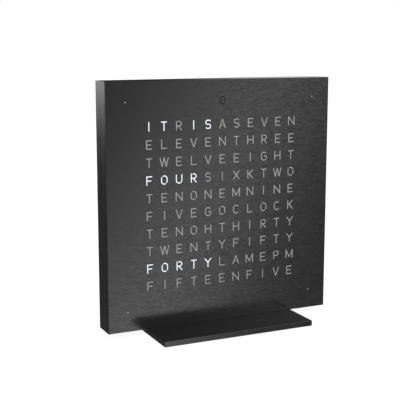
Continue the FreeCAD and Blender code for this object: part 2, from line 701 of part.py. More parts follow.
def cover_magnets():
    """Round magnets in the corners, which hold the steel cover."""
    front = COVER_THICK + MAGNET_SINK
    return Part.Compound([rod(side * MAGNET_PLACE, end * MAGNET_PLACE, MAGNET_DIA / 2,
                              front, front + MAGNET_LONG) for side, end in CORNERS])


# ---------------------------------------------------------------- light grid, board and lamps
def light_grid():
    """Moulded grid with one open cell behind each letter, so that light stays in its cell."""
    holes = []
    for _, x, level in letter_places():
        holes.append(rectangle(x, level, PITCH_X - CELL_WALL, PITCH_Z - CELL_WALL))
    for side, end in CORNERS:
        holes.append(circle(side * DOT_PLACE, end * DOT_PLACE, DOT_WELL_DIA / 2))
        holes.append(circle(side * STUD_X, end * STUD_LEVEL, STUD_DIA / 2 + STUD_GAP))
    holes.append(circle(0, TOUCH_LEVEL, TOUCH_HOLE_DIA / 2))
    square = rectangle(0, 0, 2 * GRID_HALF, 2 * GRID_HALF)
    grid = sheet(square, holes, GRID_FRONT, BOARD_FRONT)
    deep = GRID_SCREW_LONG - BOARD_THICK + HOLE_SPARE
    pilots = [rod(side * GRID_SCREW_X, end * GRID_SCREW_LEVEL, M2 / 2 + THREAD_GAP,
                  BOARD_FRONT - deep, BOARD_FRONT) for side, end in CORNERS]
    return grid.cut(Part.Compound(pilots))


def led_board():
    """Circuit board with four ears that lie on the housing's lugs."""
    board = slab(GRID_HALF, BOARD_FRONT, BOARD_BACK)
    parts = [board]
    for side, end in CORNERS:
        x0, x1 = sorted((side * GRID_HALF, side * (INNER_HALF - EAR_GAP)))
        middle = end * LUG_LEVEL
        parts.append(block(x0, x1, BOARD_FRONT, BOARD_BACK,
                           middle - LUG_HIGH / 2, middle + LUG_HIGH / 2))
    board = join(parts)
    holes = []
    for side, end in CORNERS:
        for x, level in ((BOARD_SCREW_X, LUG_LEVEL), (GRID_SCREW_X, GRID_SCREW_LEVEL)):
            holes.append(rod(side * x, end * level, M2 / 2 + SCREW_PLAY, BOARD_FRONT, BOARD_BACK))
    return board.cut(Part.Compound(holes))


def leds():
    """One lamp on the board in each cell, with a round window in its front."""
    lamps = []
    front = BOARD_FRONT - LED_THICK
    for _, x, level in letter_places():
        case = block(x - LED_WIDE / 2, x + LED_WIDE / 2, front, BOARD_FRONT,
                     level - LED_HIGH / 2, level + LED_HIGH / 2)
        lens = rod(x, level, LED_LENS_DIA / 2, front - LED_LENS_THICK, front)
        lamps.append(join([case, lens]))
    return Part.Compound(lamps)


def dot_leds():
    """Four small lamps behind the minute dots."""
    return Part.Compound([
        block(side * DOT_PLACE - DOT_LED_WIDE / 2, side * DOT_PLACE + DOT_LED_WIDE / 2,
              BOARD_FRONT - DOT_LED_THICK, BOARD_FRONT,
              end * DOT_PLACE - DOT_LED_HIGH / 2, end * DOT_PLACE + DOT_LED_HIGH / 2)
        for side, end in CORNERS])


def touch_spring():
    """Folded bronze strip on the board, which picks up a touch of the steel cover."""
    low = TOUCH_LEVEL - TOUCH_LONG / 2
    high = TOUCH_LEVEL + TOUCH_LONG / 2
    tip = COVER_THICK + TOUCH_GAP
    side = (-TOUCH_WIDE / 2, TOUCH_WIDE / 2)
    foot = block(*side, BOARD_FRONT - TOUCH_STRIP, BOARD_FRONT, low, high)
    riser = block(*side, tip, BOARD_FRONT, low, low + TOUCH_STRIP)
    pad = block(*side, tip, tip + TOUCH_STRIP, low, high)
    return join([foot, riser, pad])


# ---------------------------------------------------------------- electronics behind the board
def controller_chip():
    """Flat chip with a row of leads on each of its four sides."""
    front = BOARD_BACK + CHIP_LIFT
    half = CHIP_SIDE / 2
    body = block(CHIP_X - half, CHIP_X + half, front, front + CHIP_THICK,
                 CHIP_LEVEL - half, CHIP_LEVEL + half)
    parts = [body]
    lead = CHIP_LEAD_WIDE / 2
    reach = half + CHIP_LEAD_REACH
    for step in range(CHIP_LEADS):
        place = (step - (CHIP_LEADS - 1) / 2) * CHIP_LEAD_PITCH
        for side in SIGNS:
            near, far = sorted((side * half, side * reach))
            parts.append(block(CHIP_X + near, CHIP_X + far, BOARD_BACK, front + CHIP_LEAD_THICK,
                               CHIP_LEVEL + place - lead, CHIP_LEVEL + place + lead))
            parts.append(block(CHIP_X + place - lead, CHIP_X + place + lead, BOARD_BACK,
                               front + CHIP_LEAD_THICK, CHIP_LEVEL + near, CHIP_LEVEL + far))
    return join(parts)


def led_drivers():
    """Four small chips that switch the rows and columns of lamps."""
    half = DRIVER_SIDE / 2
    return Part.Compound([
        block(side * DRIVER_X - half, side * DRIVER_X + half, BOARD_BACK, BOARD_BACK + DRIVER_THICK,
              end * DRIVER_LEVEL - half, end * DRIVER_LEVEL + half) for side, end in CORNERS])


def clock_crystal():
    """Small metal can beside the chip, lying flat on the board."""
    middle = BOARD_BACK + CRYSTAL_DIA / 2
    low = CHIP_LEVEL - CRYSTAL_LONG / 2
    can = Part.makeCylinder(CRYSTAL_DIA / 2, CRYSTAL_LONG, at(CRYSTAL_X, middle, low))
    return can.makeFillet(EDGE_BREAK, can.Edges[:1])


def coin_cell():
    """Coin cell that keeps the time while the clock is unplugged."""
    front = BOARD_BACK + CLIP_STRIP
    cell = rod(CELL_X, CELL_LEVEL, CELL_DIA / 2, front, front + CELL_THICK)
    return cell.makeFillet(EDGE_BREAK, [edge for edge in cell.Edges if edge.Length > CELL_DIA])


def coin_cell_clip():
    """Sprung strap that crosses over the coin cell and is soldered down on both sides."""
    low = CELL_LEVEL - CLIP_WIDE / 2
    high = CELL_LEVEL + CLIP_WIDE / 2
    leg = CELL_DIA / 2 + CLIP_GAP
    under = BOARD_BACK + CLIP_STRIP + CELL_THICK
    parts = [block(CELL_X - leg - CLIP_STRIP, CELL_X + leg + CLIP_STRIP, under, under + CLIP_STRIP,
                   low, high)]
    for side in SIGNS:
        x0, x1 = sorted((side * leg, side * (leg + CLIP_STRIP)))
        parts.append(block(CELL_X + x0, CELL_X + x1, BOARD_BACK, under, low, high))
        x0, x1 = sorted((side * leg, side * (leg + CLIP_FOOT)))
        parts.append(block(CELL_X + x0, CELL_X + x1, BOARD_BACK, BOARD_BACK + CLIP_STRIP, low, high))
    return join(parts)


def coin_cell_pad():
    """Plated contact between the coin cell and the board."""
    return rod(CELL_X, CELL_LEVEL, CELL_PAD_DIA / 2, BOARD_BACK, BOARD_BACK + CLIP_STRIP)


def buzzer():
    """Round alarm buzzer with a sound port in its middle."""
    back = BOARD_BACK + BUZZER_THICK
    can = rod(BUZZER_X, BUZZER_LEVEL, BUZZER_DIA / 2, BOARD_BACK, back)
    return can.cut(rod(BUZZER_X, BUZZER_LEVEL, BUZZER_PORT_DIA / 2, back - BUZZER_PORT_DEEP, back))


def light_sensor():
    """Sensor that dims the lamps when the room is dark."""
    half = SENSOR_SIDE / 2
    return block(SENSOR_X - half, SENSOR_X + half, BOARD_BACK, BOARD_BACK + SENSOR_THICK,
                 SENSOR_LEVEL - half, SENSOR_LEVEL + half)


def sensor_window():
    """Clear rod with a flange, which leads daylight from the rear face to the sensor."""
    front = BOARD_BACK + SENSOR_THICK + PIPE_SENSOR_GAP
    pipe = rod(SENSOR_X, SENSOR_LEVEL, PIPE_DIA / 2, front, BODY_DEPTH)
    flange = rod(SENSOR_X, SENSOR_LEVEL, PIPE_FLANGE_DIA / 2,
                 REAR_INSIDE - PIPE_FLANGE_THICK, REAR_INSIDE)
    return join([pipe, flange])


def socket_shell():
    """Steel shell of the power socket, open towards the back."""
    inside = [slot_outline(SOCKET_X, SOCKET_LEVEL, SOCKET_WIDE - 2 * SOCKET_WALL,
                           SOCKET_HIGH - 2 * SOCKET_WALL)]
    outer = slot_outline(SOCKET_X, SOCKET_LEVEL, SOCKET_WIDE, SOCKET_HIGH)
    return sheet(outer, inside, BOARD_BACK, BODY_DEPTH)


def socket_tongue():
    """Plastic floor of the power socket with the contact tongue standing on it."""
    floor = sheet(slot_outline(SOCKET_X, SOCKET_LEVEL, SOCKET_WIDE - 2 * SOCKET_WALL,
                               SOCKET_HIGH - 2 * SOCKET_WALL), [], BOARD_BACK, BOARD_BACK + SOCKET_FLOOR)
    tongue = block(SOCKET_X - TONGUE_WIDE / 2, SOCKET_X + TONGUE_WIDE / 2,
                   BOARD_BACK + SOCKET_FLOOR, BOARD_BACK + SOCKET_FLOOR + TONGUE_LONG,
                   SOCKET_LEVEL - TONGUE_THICK / 2, SOCKET_LEVEL + TONGUE_THICK / 2)
    return join([floor, tongue])


# ---------------------------------------------------------------- buttons
def button_places():
    """Places of the four buttons along X."""
    return [FIRST_BUTTON_X + step * BUTTON_PITCH for step in range(len(BUTTON_SIGNS))]


def engraved_sign(sign, x):
    """Sign engraved in the top of a button: plus, minus, ring or square."""
    back = BODY_DEPTH + BUTTON_PROUD
    depth = (back - SIGN_CUT, back)
    half = SIGN_SIZE / 2
    line = SIGN_LINE / 2
    level_bar = block(x - half, x + half, *depth, BUTTON_LEVEL - line, BUTTON_LEVEL + line)
    if sign == "minus":
        return level_bar
    if sign == "plus":
        return join([level_bar, block(x - line, x + line, *depth, BUTTON_LEVEL - half, BUTTON_LEVEL + half)])
    if sign == "ring":
        return rod(x, BUTTON_LEVEL, half, *depth).cut(rod(x, BUTTON_LEVEL, half - SIGN_LINE, *depth))
    inner = half - SIGN_LINE
    return block(x - half, x + half, *depth, BUTTON_LEVEL - half, BUTTON_LEVEL + half).cut(
        block(x - inner, x + inner, *depth, BUTTON_LEVEL - inner, BUTTON_LEVEL + inner))


def button(sign, x):
    """Button cap: a round top that stands out of the rear cover, and a flange that keeps it in."""
    back = BODY_DEPTH + BUTTON_PROUD
    top = rod(x, BUTTON_LEVEL, BUTTON_DIA / 2, FLANGE_BACK, back)
    rim = [edge for edge in top.Edges if edge.BoundBox.YMin > FACE_Y + back - EDGE_BREAK]
    top = top.makeFillet(BUTTON_EDGE, rim)
    flange = rod(x, BUTTON_LEVEL, BUTTON_FLANGE_DIA / 2, FLANGE_FRONT, FLANGE_BACK)
    return join([top, flange]).cut(engraved_sign(sign, x))


def switch_plunger(x):
    """Plunger of one switch, between the switch and the button cap."""
    return rod(x, BUTTON_LEVEL, PLUNGER_DIA / 2, PLUNGER_FRONT, FLANGE_FRONT)


def switch_bodies():
    """Four square switches on the board, each with a bore for its plunger."""
    half = SWITCH_SIDE / 2
    bottom = PLUNGER_FRONT - BUTTON_TRAVEL - PLUNGER_FLOOR
    bodies = []
    for x in button_places():
        body = block(x - half, x + half, BOARD_BACK, SWITCH_BACK, BUTTON_LEVEL - half, BUTTON_LEVEL + half)
        bodies.append(body.cut(rod(x, BUTTON_LEVEL, PLUNGER_DIA / 2 + PLUNGER_GAP, bottom, SWITCH_BACK)))
    return Part.Compound(bodies)


# ---------------------------------------------------------------- the stand
def base_plate():
    """Flat steel plate with countersunk holes and pockets for the pads on its underside."""
    plate = Part.makeBox(PLATE_WIDTH, PLATE_DEPTH, PLATE_THICK,
                         FreeCAD.Vector(-PLATE_WIDTH / 2, -PLATE_DEPTH / 2, PLATE_BOTTOM))
    plate = plate.makeChamfer(EDGE_BREAK, plate.Edges)
    y = FACE_Y + STAND_SCREW_DEPTH
    low = PLATE_BOTTOM + HEAD_SINK
    cone = (M3_HEAD - M3) / 2
    wide = M3_HEAD / 2 + SCREW_PLAY
    tools = []
    for side in SIGNS:
        x = side * STAND_SCREW_X
        tools.append(Part.makeCylinder(wide, HEAD_SINK, FreeCAD.Vector(x, y, PLATE_BOTTOM)))
        tools.append(Part.makeCone(wide, M3 / 2 + SCREW_PLAY, cone, FreeCAD.Vector(x, y, low)))
        tools.append(Part.makeCylinder(M3 / 2 + SCREW_PLAY, PLATE_THICK, FreeCAD.Vector(x, y, low)))
    for side, end in CORNERS:
        tools.append(Part.makeCylinder(PAD_DIA / 2 + PAD_GAP, PAD_THICK - PAD_PROUD,
                                       FreeCAD.Vector(side * PAD_X, end * PAD_Y, PLATE_BOTTOM)))
    return plate.cut(Part.Compound(tools))


def foot_pads():
    """Four rubber pads, set into the underside of the base plate."""
    pads = []
    for side, end in CORNERS:
        pad = Part.makeCylinder(PAD_DIA / 2, PAD_THICK, FreeCAD.Vector(side * PAD_X, end * PAD_Y, 0))
        rim = [edge for edge in pad.Edges if edge.BoundBox.ZMax < EDGE_BREAK]
        pads.append(pad.makeFillet(EDGE_BREAK, rim))
    return Part.Compound(pads)


def stand_inserts():
    """Two threaded brass inserts in the floor of the housing."""
    y = FACE_Y + STAND_SCREW_DEPTH
    inserts = []
    for side in SIGNS:
        place = FreeCAD.Vector(side * STAND_SCREW_X, y, PLATE_TOP)
        outside = Part.makeCylinder(INSERT_DIA / 2, INSERT_LONG, place)
        inserts.append(outside.cut(Part.makeCylinder(M3 / 2 + THREAD_GAP, INSERT_LONG, place)))
    return Part.Compound(inserts)


# ---------------------------------------------------------------- all pieces, one node each
NODES = {
    "front_cover": front_cover(),
    "opal_infill": opal_infill(),
    "locating_studs": locating_studs(),
    "housing": housing(),
    "cover_magnets": cover_magnets(),
    "rear_cover": rear_cover(),
    "rear_cover_screws": Part.Compound([rear_screw(side * REAR_SCREW_PLACE, end * REAR_SCREW_PLACE)
                                        for side, end in CORNERS]),
    "light_grid": light_grid(),
    "led_board": led_board(),
    "leds": leds(),
    "dot_leds": dot_leds(),
    "grid_screws": Part.Compound([pan_screw(side * GRID_SCREW_X, end * GRID_SCREW_LEVEL, GRID_SCREW_LONG)
                                  for side, end in CORNERS]),
    "board_screws": Part.Compound([pan_screw(side * BOARD_SCREW_X, end * LUG_LEVEL, BOARD_SCREW_LONG)
                                   for side, end in CORNERS]),
    "touch_spring": touch_spring(),
    "controller_chip": controller_chip(),
    "led_drivers": led_drivers(),
    "clock_crystal": clock_crystal(),
    "coin_cell": coin_cell(),
    "coin_cell_clip": coin_cell_clip(),
    "coin_cell_pad": coin_cell_pad(),
    "buzzer": buzzer(),
    "light_sensor": light_sensor(),
    "sensor_window": sensor_window(),
    "socket_shell": socket_shell(),
    "socket_tongue": socket_tongue(),
    "switch_bodies": switch_bodies(),
    "base_plate": base_plate(),
    "stand_screws": Part.Compound([stand_screw(side * STAND_SCREW_X) for side in SIGNS]),
    "stand_inserts": stand_inserts(),
    "foot_pads": foot_pads(),
}
for (name, sign), place in zip(BUTTON_SIGNS, button_places()):
    NODES["button_" + name] = button(sign, place)
    NODES["plunger_" + name] = switch_plunger(place)

os.makedirs("parts", exist_ok=True)
for node, shape in NODES.items():
    if not shape.isValid():
        raise ValueError(node + " isn't a valid shape")
    shape.exportStep("parts/" + node + ".step")
    print(node, len(shape.Solids), round(shape.Volume, 2))
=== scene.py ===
import math
from contextlib import contextmanager

import bmesh
import bpy
from mathutils import Matrix, Vector


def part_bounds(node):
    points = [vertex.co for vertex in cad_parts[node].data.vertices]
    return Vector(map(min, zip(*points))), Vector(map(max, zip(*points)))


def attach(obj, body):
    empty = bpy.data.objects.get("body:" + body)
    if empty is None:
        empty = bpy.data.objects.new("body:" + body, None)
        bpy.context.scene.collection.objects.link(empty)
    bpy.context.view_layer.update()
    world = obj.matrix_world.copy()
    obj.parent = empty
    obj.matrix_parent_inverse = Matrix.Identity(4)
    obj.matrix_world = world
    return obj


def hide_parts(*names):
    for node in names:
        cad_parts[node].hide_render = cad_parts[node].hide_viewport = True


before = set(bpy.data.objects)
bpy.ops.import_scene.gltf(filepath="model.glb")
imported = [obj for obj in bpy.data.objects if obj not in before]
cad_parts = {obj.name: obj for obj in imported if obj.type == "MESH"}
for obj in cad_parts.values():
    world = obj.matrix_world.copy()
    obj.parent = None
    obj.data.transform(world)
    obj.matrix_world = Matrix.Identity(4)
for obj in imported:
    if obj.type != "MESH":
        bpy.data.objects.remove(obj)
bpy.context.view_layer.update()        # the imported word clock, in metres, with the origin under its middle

bl_info = {
    "name": "Word clock",
    "version": (1, 0, 0),
    "blender": (4, 5, 0),
    "location": "3D View > Sidebar > Word clock",
    "description": "Finishes, lit words, small parts and studio of a desk word clock",
    "category": "Object",
}

# ---------------------------------------------------------------- what the clock shows
COLUMNS = 11
ROWS = 10
LIT_WORDS = ((1, 1, 2), (1, 4, 5), (4, 1, 4), (9, 1, 5))    # row, first column, last column
KEYS = ("minus", "plus", "alarm", "mode")

# ---------------------------------------------------------------- places read from the frame
MM = 0.001
SIDES = (-1, 1)
TOUCHING = 0.01 * MM            # points closer than this lie in the same place
LAMP_REACH = 5 * MM             # more than one lamp's size, less than the pitch of the lamps
FLAT = 0.9995                   # share of a normal along an axis above which a face is square to it
SMOOTH_ANGLE = math.radians(32)
EDGE_BREAK = 0.1 * MM           # chamfer on the edges of the steel sheet
M2_RADIUS = 1.0 * MM            # shanks of the small and of the large screws
M3_RADIUS = 1.5 * MM


def middle(box):
    """Centre of a box that is given by its lowest and highest corner."""
    return (box[0] + box[1]) / 2


def at_y(place, y):
    """The same place, at another depth."""
    return Vector((place.x, y, place.z))


def part_box(node, belongs):
    """Box of one part in a node of several like parts, from the points that belong to it."""
    points = [vertex.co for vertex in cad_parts[node].data.vertices if belongs(vertex.co)]
    low = Vector([min(point[axis] for point in points) for axis in range(3)])
    high = Vector([max(point[axis] for point in points) for axis in range(3)])
    return low, high


CENTRE_LEVEL = middle(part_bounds("housing")).z
FACE_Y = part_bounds("front_cover")[0].y
COVER_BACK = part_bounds("front_cover")[1].y
COVER_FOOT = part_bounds("front_cover")[0].z
PLATE_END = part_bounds("base_plate")[1].x
BOARD_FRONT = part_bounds("led_board")[0].y
BOARD_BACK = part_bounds("led_board")[1].y


def corner_boxes(node):
    """Boxes of four like parts, one in each corner of the face."""
    boxes = []
    for end in SIDES:
        for side in SIDES:
            boxes.append(part_box(node, lambda point: point.x * side > 0
                                  and (point.z - CENTRE_LEVEL) * end > 0))
    return boxes


def side_boxes(node):
    """Boxes of two like parts, left and right."""
    return [part_box(node, lambda point: point.x * side > 0) for side in SIDES]


lamps_low, lamps_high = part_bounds("leds")
LAMP_BOX = part_box("leds", lambda point: point.x < lamps_low.x + LAMP_REACH
                    and point.z > lamps_high.z - LAMP_REACH)
LAMP_SIZE = LAMP_BOX[1] - LAMP_BOX[0]
PITCH_X = (lamps_high.x - lamps_low.x - LAMP_SIZE.x) / (COLUMNS - 1)
PITCH_Z = (lamps_high.z - lamps_low.z - LAMP_SIZE.z) / (ROWS - 1)


def letter_place(row, column):
    """Middle of a letter's lamp. Rows and columns count from 1, at the top left."""
    first = middle(LAMP_BOX)
    return Vector((first.x + (column - 1) * PITCH_X, first.y, first.z - (row - 1) * PITCH_Z))


# ---------------------------------------------------------------- what a user would change
def colour(name, description, default):
    """Property for a colour, in linear light."""
    return bpy.props.FloatVectorProperty(name=name, description=description, default=default,
                                         subtype="COLOR", size=3, min=0.0, max=1.0)


def share(name, description, default):
    """Property for a number from 0 to 1."""
    return bpy.props.FloatProperty(name=name, description=description, default=default,
                                   subtype="FACTOR", min=0.0, max=1.0)


def length(name, description, default):
    """Property for a length in metres."""
    return bpy.props.FloatProperty(name=name, description=description, default=default,
                                   subtype="DISTANCE", unit="LENGTH", min=0.0, precision=5)


class WordClockFinish(bpy.types.PropertyGroup):
    """Colours and finishes of the clock's materials"""
    sheet_colour: colour("Steel sheet", "Black finish of the brushed front", (0.077, 0.077, 0.077))
    sheet_metal: share("Sheet metal", "How far the front looks like bare metal", 0.8)
    sheet_roughness: share("Sheet roughness", "Roughness of the brushed front", 0.2)
    brush_length: length("Brush length", "Length of the brush lines", 2.4 * MM)
    brush_width: length("Brush width", "Width of the brush lines", 0.3 * MM)
    brush_depth: length("Brush depth", "Depth of the brush lines", 0.00003 * MM)
    brush_tone: share("Brush tone", "How much the brush lines lighten and darken the sheet", 0.45)
    resin_colour: colour("Resin", "White resin of the unlit letters", (0.45, 0.45, 0.455))
    lit_colour: colour("Lit letters", "Colour of the light in the lit letters", (0.86, 0.91, 1.0))
    lit_strength: bpy.props.FloatProperty(
        name="Brightness", description="Brightness of the lit letters", default=0.84, min=0.0)
    housing_colour: colour("Housing", "Black anodised frame", (0.064, 0.064, 0.066))
    plate_colour: colour("Base plate", "Black powder coat of the plate", (0.060, 0.060, 0.061))
    rear_colour: colour("Rear cover", "Black moulded plastic", (0.022, 0.022, 0.023))
    rubber_colour: colour("Rubber", "Black rubber of the keys and pads", (0.018, 0.018, 0.019))
    grid_colour: colour("Light grid", "White plastic of the light grid", (0.80, 0.80, 0.78))
    board_colour: colour("Circuit board", "Solder mask", (0.008, 0.075, 0.030))
    trace_colour: colour("Copper tracks", "Tracks under the solder mask", (0.020, 0.150, 0.060))
    chip_colour: colour("Chips", "Black epoxy of the chips", (0.017, 0.017, 0.018))
    lamp_colour: colour("Lamp case", "White case of the lamps", (0.82, 0.82, 0.80))
    phosphor_colour: colour("Phosphor", "Yellow filling of the lamps", (0.85, 0.66, 0.12))


class WordClockSmallParts(bpy.types.PropertyGroup):
    """Sizes of the small parts that are modelled here"""
    small_pitch: length("Small thread pitch", "Pitch of the 2 mm screws", 0.4 * MM)
    large_pitch: length("Large thread pitch", "Pitch of the 3 mm screws", 0.5 * MM)
    thread_depth: length("Thread depth", "Depth of the screw threads", 0.2 * MM)
    lead_width: length("Lead width", "Width of a chip's leads", 0.35 * MM)
    lead_pitch: length("Lead pitch", "Distance between a chip's leads", 0.8 * MM)
    leads_per_side: bpy.props.IntProperty(
        name="Leads", description="Leads on each side of the controller", default=11, min=1)
    resistor_long: length("Resistor length", "Length of a chip resistor", 1.6 * MM)
    resistor_wide: length("Resistor width", "Width of a chip resistor", 0.8 * MM)
    resistor_high: length("Resistor height", "Height of a chip resistor", 0.45 * MM)


class WordClockStudio(bpy.types.PropertyGroup):
    """Camera, floor and light"""
    camera_place: bpy.props.FloatVectorProperty(
        name="Camera", description="Place of the camera", size=3, subtype="TRANSLATION",
        default=(-0.227358, -0.465265, 0.161726))
    camera_yaw: bpy.props.FloatProperty(
        name="Yaw", description="Turn of the camera to the right of the clock's depth",
        default=math.radians(24.966), subtype="ANGLE", unit="ROTATION")
    camera_drop: bpy.props.FloatProperty(
        name="Drop", description="Angle of the camera below the horizon",
        default=math.radians(9.935), subtype="ANGLE", unit="ROTATION")
    lens: bpy.props.FloatProperty(
        name="Lens", description="Focal length on a 36 mm sensor, in millimetres", default=84.473)
    floor_size: length("Floor", "Width and depth of the floor", 12.0)
    fill_level: bpy.props.FloatProperty(
        name="Fill", description="Light from all round", default=0.62, min=0.0)
    key_power: bpy.props.FloatProperty(
        name="Key light", description="Power of the soft lamp", default=7.0, subtype="POWER",
        unit="POWER")


# ---------------------------------------------------------------- shader nodes
NOISE_LOW = 0.3                 # most of a noise lies between these two values
NOISE_HIGH = 0.7
WHITE = (1.0, 1.0, 1.0, 1.0)


class Nodes:
    """Node tree of a material or world, with short ways to add and join nodes."""

    def __init__(self, tree):
        self.tree = tree
        self.place = self.add("ShaderNodeTexCoord").outputs["Object"]

    def add(self, kind, **settings):
        """New node with its settings."""
        node = self.tree.nodes.new(kind)
        for name, value in settings.items():
            setattr(node, name, value)
        return node

    def feed(self, socket, value):
        """Joins an output to an input, or sets the input's own value."""
        if isinstance(value, bpy.types.NodeSocket):
            self.tree.links.new(value, socket)
        else:
            socket.default_value = value

    def maths(self, operation, *values):
        """Result of a sum on one, two or three values."""
        node = self.add("ShaderNodeMath", operation=operation)
        for socket, value in zip(node.inputs, values):
            self.feed(socket, value)
        return node.outputs[0]

    def product(self, *values):
        """Product of two or more values."""
        result = values[0]
        for value in values[1:]:
            result = self.maths("MULTIPLY", result, value)
        return result

    def total(self, *values):
        """Sum of two or more values."""
        result = values[0]
        for value in values[1:]:
            result = self.maths("ADD", result, value)
        return result

    def along(self, direction):
        """How far the place lies along a direction."""
        node = self.add("ShaderNodeVectorMath", operation="DOT_PRODUCT")
        self.feed(node.inputs[0], self.place)
        self.feed(node.inputs[1], direction)
        return node.outputs["Value"]

    def tint(self, shade, tone):
        """Colour made lighter or darker by a tone, where 1 leaves it as it is."""
        node = self.add("ShaderNodeVectorMath", operation="SCALE")
        self.feed(node.inputs[0], shade)
        self.feed(node.inputs["Scale"], tone)
        return node.outputs["Vector"]

    def axes(self, vector=None):
        """X, Y and Z of a vector, or of the place on the piece."""
        node = self.add("ShaderNodeSeparateXYZ")
        self.feed(node.inputs[0], vector or self.place)
        return node.outputs[0], node.outputs[1], node.outputs[2]

    def ramp(self, value, low, high, start=0.0, end=1.0):
        """Value from low to high, turned softly into one from start to end."""
        node = self.add("ShaderNodeMapRange", interpolation_type="SMOOTHSTEP")
        for name, given in (("Value", value), ("From Min", low), ("From Max", high),
                            ("To Min", start), ("To Max", end)):
            self.feed(node.inputs[name], given)
        return node.outputs["Result"]

    def mix(self, factor, first, second):
        """Colour between two colours."""
        node = self.add("ShaderNodeMix", data_type="RGBA")
        colours = [socket for socket in node.inputs if socket.type == "RGBA"]
        self.feed(node.inputs[0], factor)
        self.feed(colours[0], first)
        self.feed(colours[1], second)
        return [socket for socket in node.outputs if socket.type == "RGBA"][0]

    def noise(self, size, detail=2.0, place=None):
        """Noise with spots about so large, in metres: one size, or one along each axis."""
        sizes = size if isinstance(size, tuple) else (size, size, size)
        mapping = self.add("ShaderNodeMapping")
        self.feed(mapping.inputs["Vector"], place or self.place)
        mapping.inputs["Scale"].default_value = [1 / one for one in sizes]
        node = self.add("ShaderNodeTexNoise")
        self.feed(node.inputs["Vector"], mapping.outputs["Vector"])
        node.inputs["Scale"].default_value = 1.0
        node.inputs["Detail"].default_value = detail
        return node.outputs[0]

    def vary(self, noise, start, end):
        """Value that goes from start to end with a noise."""
        return self.ramp(noise, NOISE_LOW, NOISE_HIGH, start, end)

    def cell(self, value, start, pitch):
        """Number of the cell that a value falls in, and how far it is from the cell's middle."""
        off = self.maths("SUBTRACT", value, start)
        number = self.maths("ROUND", self.maths("DIVIDE", off, pitch))
        return number, self.maths("SUBTRACT", off, self.product(number, pitch))

    def reach(self, first, second):
        """Distance from the middle, of a place so far off along two axes."""
        squares = [self.maths("POWER", off, 2.0) for off in (first, second)]
        return self.maths("SQRT", self.total(*squares))

    def chance(self, first, second):
        """Random value from 0 to 1 for each pair of numbers."""
        pair = self.add("ShaderNodeCombineXYZ")
        self.feed(pair.inputs[0], first)
        self.feed(pair.inputs[1], second)
        node = self.add("ShaderNodeTexWhiteNoise", noise_dimensions="2D")
        self.feed(node.inputs["Vector"], pair.outputs[0])
        return node.outputs["Value"]

    def bump(self, height, depth, under=None):
        """Normal of a surface with so deep a relief, in metres."""
        node = self.add("ShaderNodeBump")
        node.inputs["Strength"].default_value = 1.0
        node.inputs["Distance"].default_value = depth
        self.feed(node.inputs["Height"], height)
        if under:
            self.feed(node.inputs["Normal"], under)
        return node.outputs["Normal"]

    def blend(self, factor, first, second):
        """Shader between two shaders."""
        node = self.add("ShaderNodeMixShader")
        for socket, value in zip(node.inputs, (factor, first, second)):
            self.feed(socket, value)
        return node.outputs[0]

    def rays(self, *kinds):
        """1 for rays of the given kinds and 0 for all others."""
        path = self.add("ShaderNodeLightPath")
        found = path.outputs[kinds[0]]
        for kind in kinds[1:]:
            found = self.maths("MAXIMUM", found, path.outputs[kind])
        return found


def rgb(values):
    """Colour of three values, with full cover."""
    return (*values, 1.0)


def new_material(name, **constants):
    """Material with its node helper and its surface shader, on which constants are set."""
    material = bpy.data.materials.new(name)
    material.use_nodes = True
    nodes = Nodes(material.node_tree)
    surface = material.node_tree.nodes["Principled BSDF"]
    for socket, value in constants.items():
        surface.inputs[socket.replace("_", " ")].default_value = value
    return material, nodes, surface


def grained(name, shade, metallic, roughness, grain, relief, mottle=0.08, spread_of_gloss=0.05):
    """Plain finish with a fine grain in its colour and relief and slow changes in its gloss."""
    material, nodes, surface = new_material(name, Metallic=metallic)
    fine = nodes.noise(grain, detail=3.0)
    slow = nodes.noise(grain * 14)
    tone = nodes.total(nodes.vary(fine, -mottle, mottle),
                       nodes.vary(slow, 1 - mottle / 2, 1 + mottle / 2))
    nodes.feed(surface.inputs["Base Color"], nodes.tint(shade, tone))
    nodes.feed(surface.inputs["Roughness"],
               nodes.vary(slow, roughness - spread_of_gloss, roughness + spread_of_gloss))
    nodes.feed(surface.inputs["Normal"], nodes.bump(fine, relief))
    return material


LINES_LOW = 0.45                # the height of the brush lines lies between these two values
LINES_HIGH = 1.05
FAINT = 0.3                     # share of the brush lines that shows where they are faint
BLUR = 0.02 * MM                # width over which one tone gives way to the next


def brush_lines(nodes, long, wide):
    """Height of fine wavy lines along X."""
    sway = nodes.noise((long * 9, long * 9, long * 5), detail=1.0)
    x, y, z = nodes.axes()
    swayed = nodes.add("ShaderNodeCombineXYZ")
    nodes.feed(swayed.inputs[0], x)
    nodes.feed(swayed.inputs[1], y)
    nodes.feed(swayed.inputs[2], nodes.maths("MULTIPLY_ADD", sway, wide * 3, z))
    broad = nodes.noise((long, long, wide), detail=1.0, place=swayed.outputs[0])
    fine = nodes.noise((long / 2, long / 2, wide / 2), detail=1.0, place=swayed.outputs[0])
    return nodes.maths("MULTIPLY_ADD", fine, 0.5, broad)


def brush_strength_by_reflection(nodes):
    """How far the brush lines show, painted to follow the light: less at the upper left and low down over
    the plate, where the front reflects dark.
    """
    x, _, z = nodes.axes()
    # painted light: the lines' contrast fades where the front shows dark reflections, at the upper left and
    # in the plate's reflection
    from_corner = nodes.maths("MULTIPLY_ADD", z, -0.58, x)
    right = nodes.ramp(from_corner, -121 * MM, -40 * MM, FAINT, 1.0)
    above = nodes.ramp(z, 7 * MM, 13 * MM, FAINT, 1.0)
    beside = nodes.ramp(nodes.maths("ABSOLUTE", x), PLATE_END - 3 * MM, PLATE_END + 5 * MM)
    return nodes.product(right, nodes.maths("MAXIMUM", above, beside))


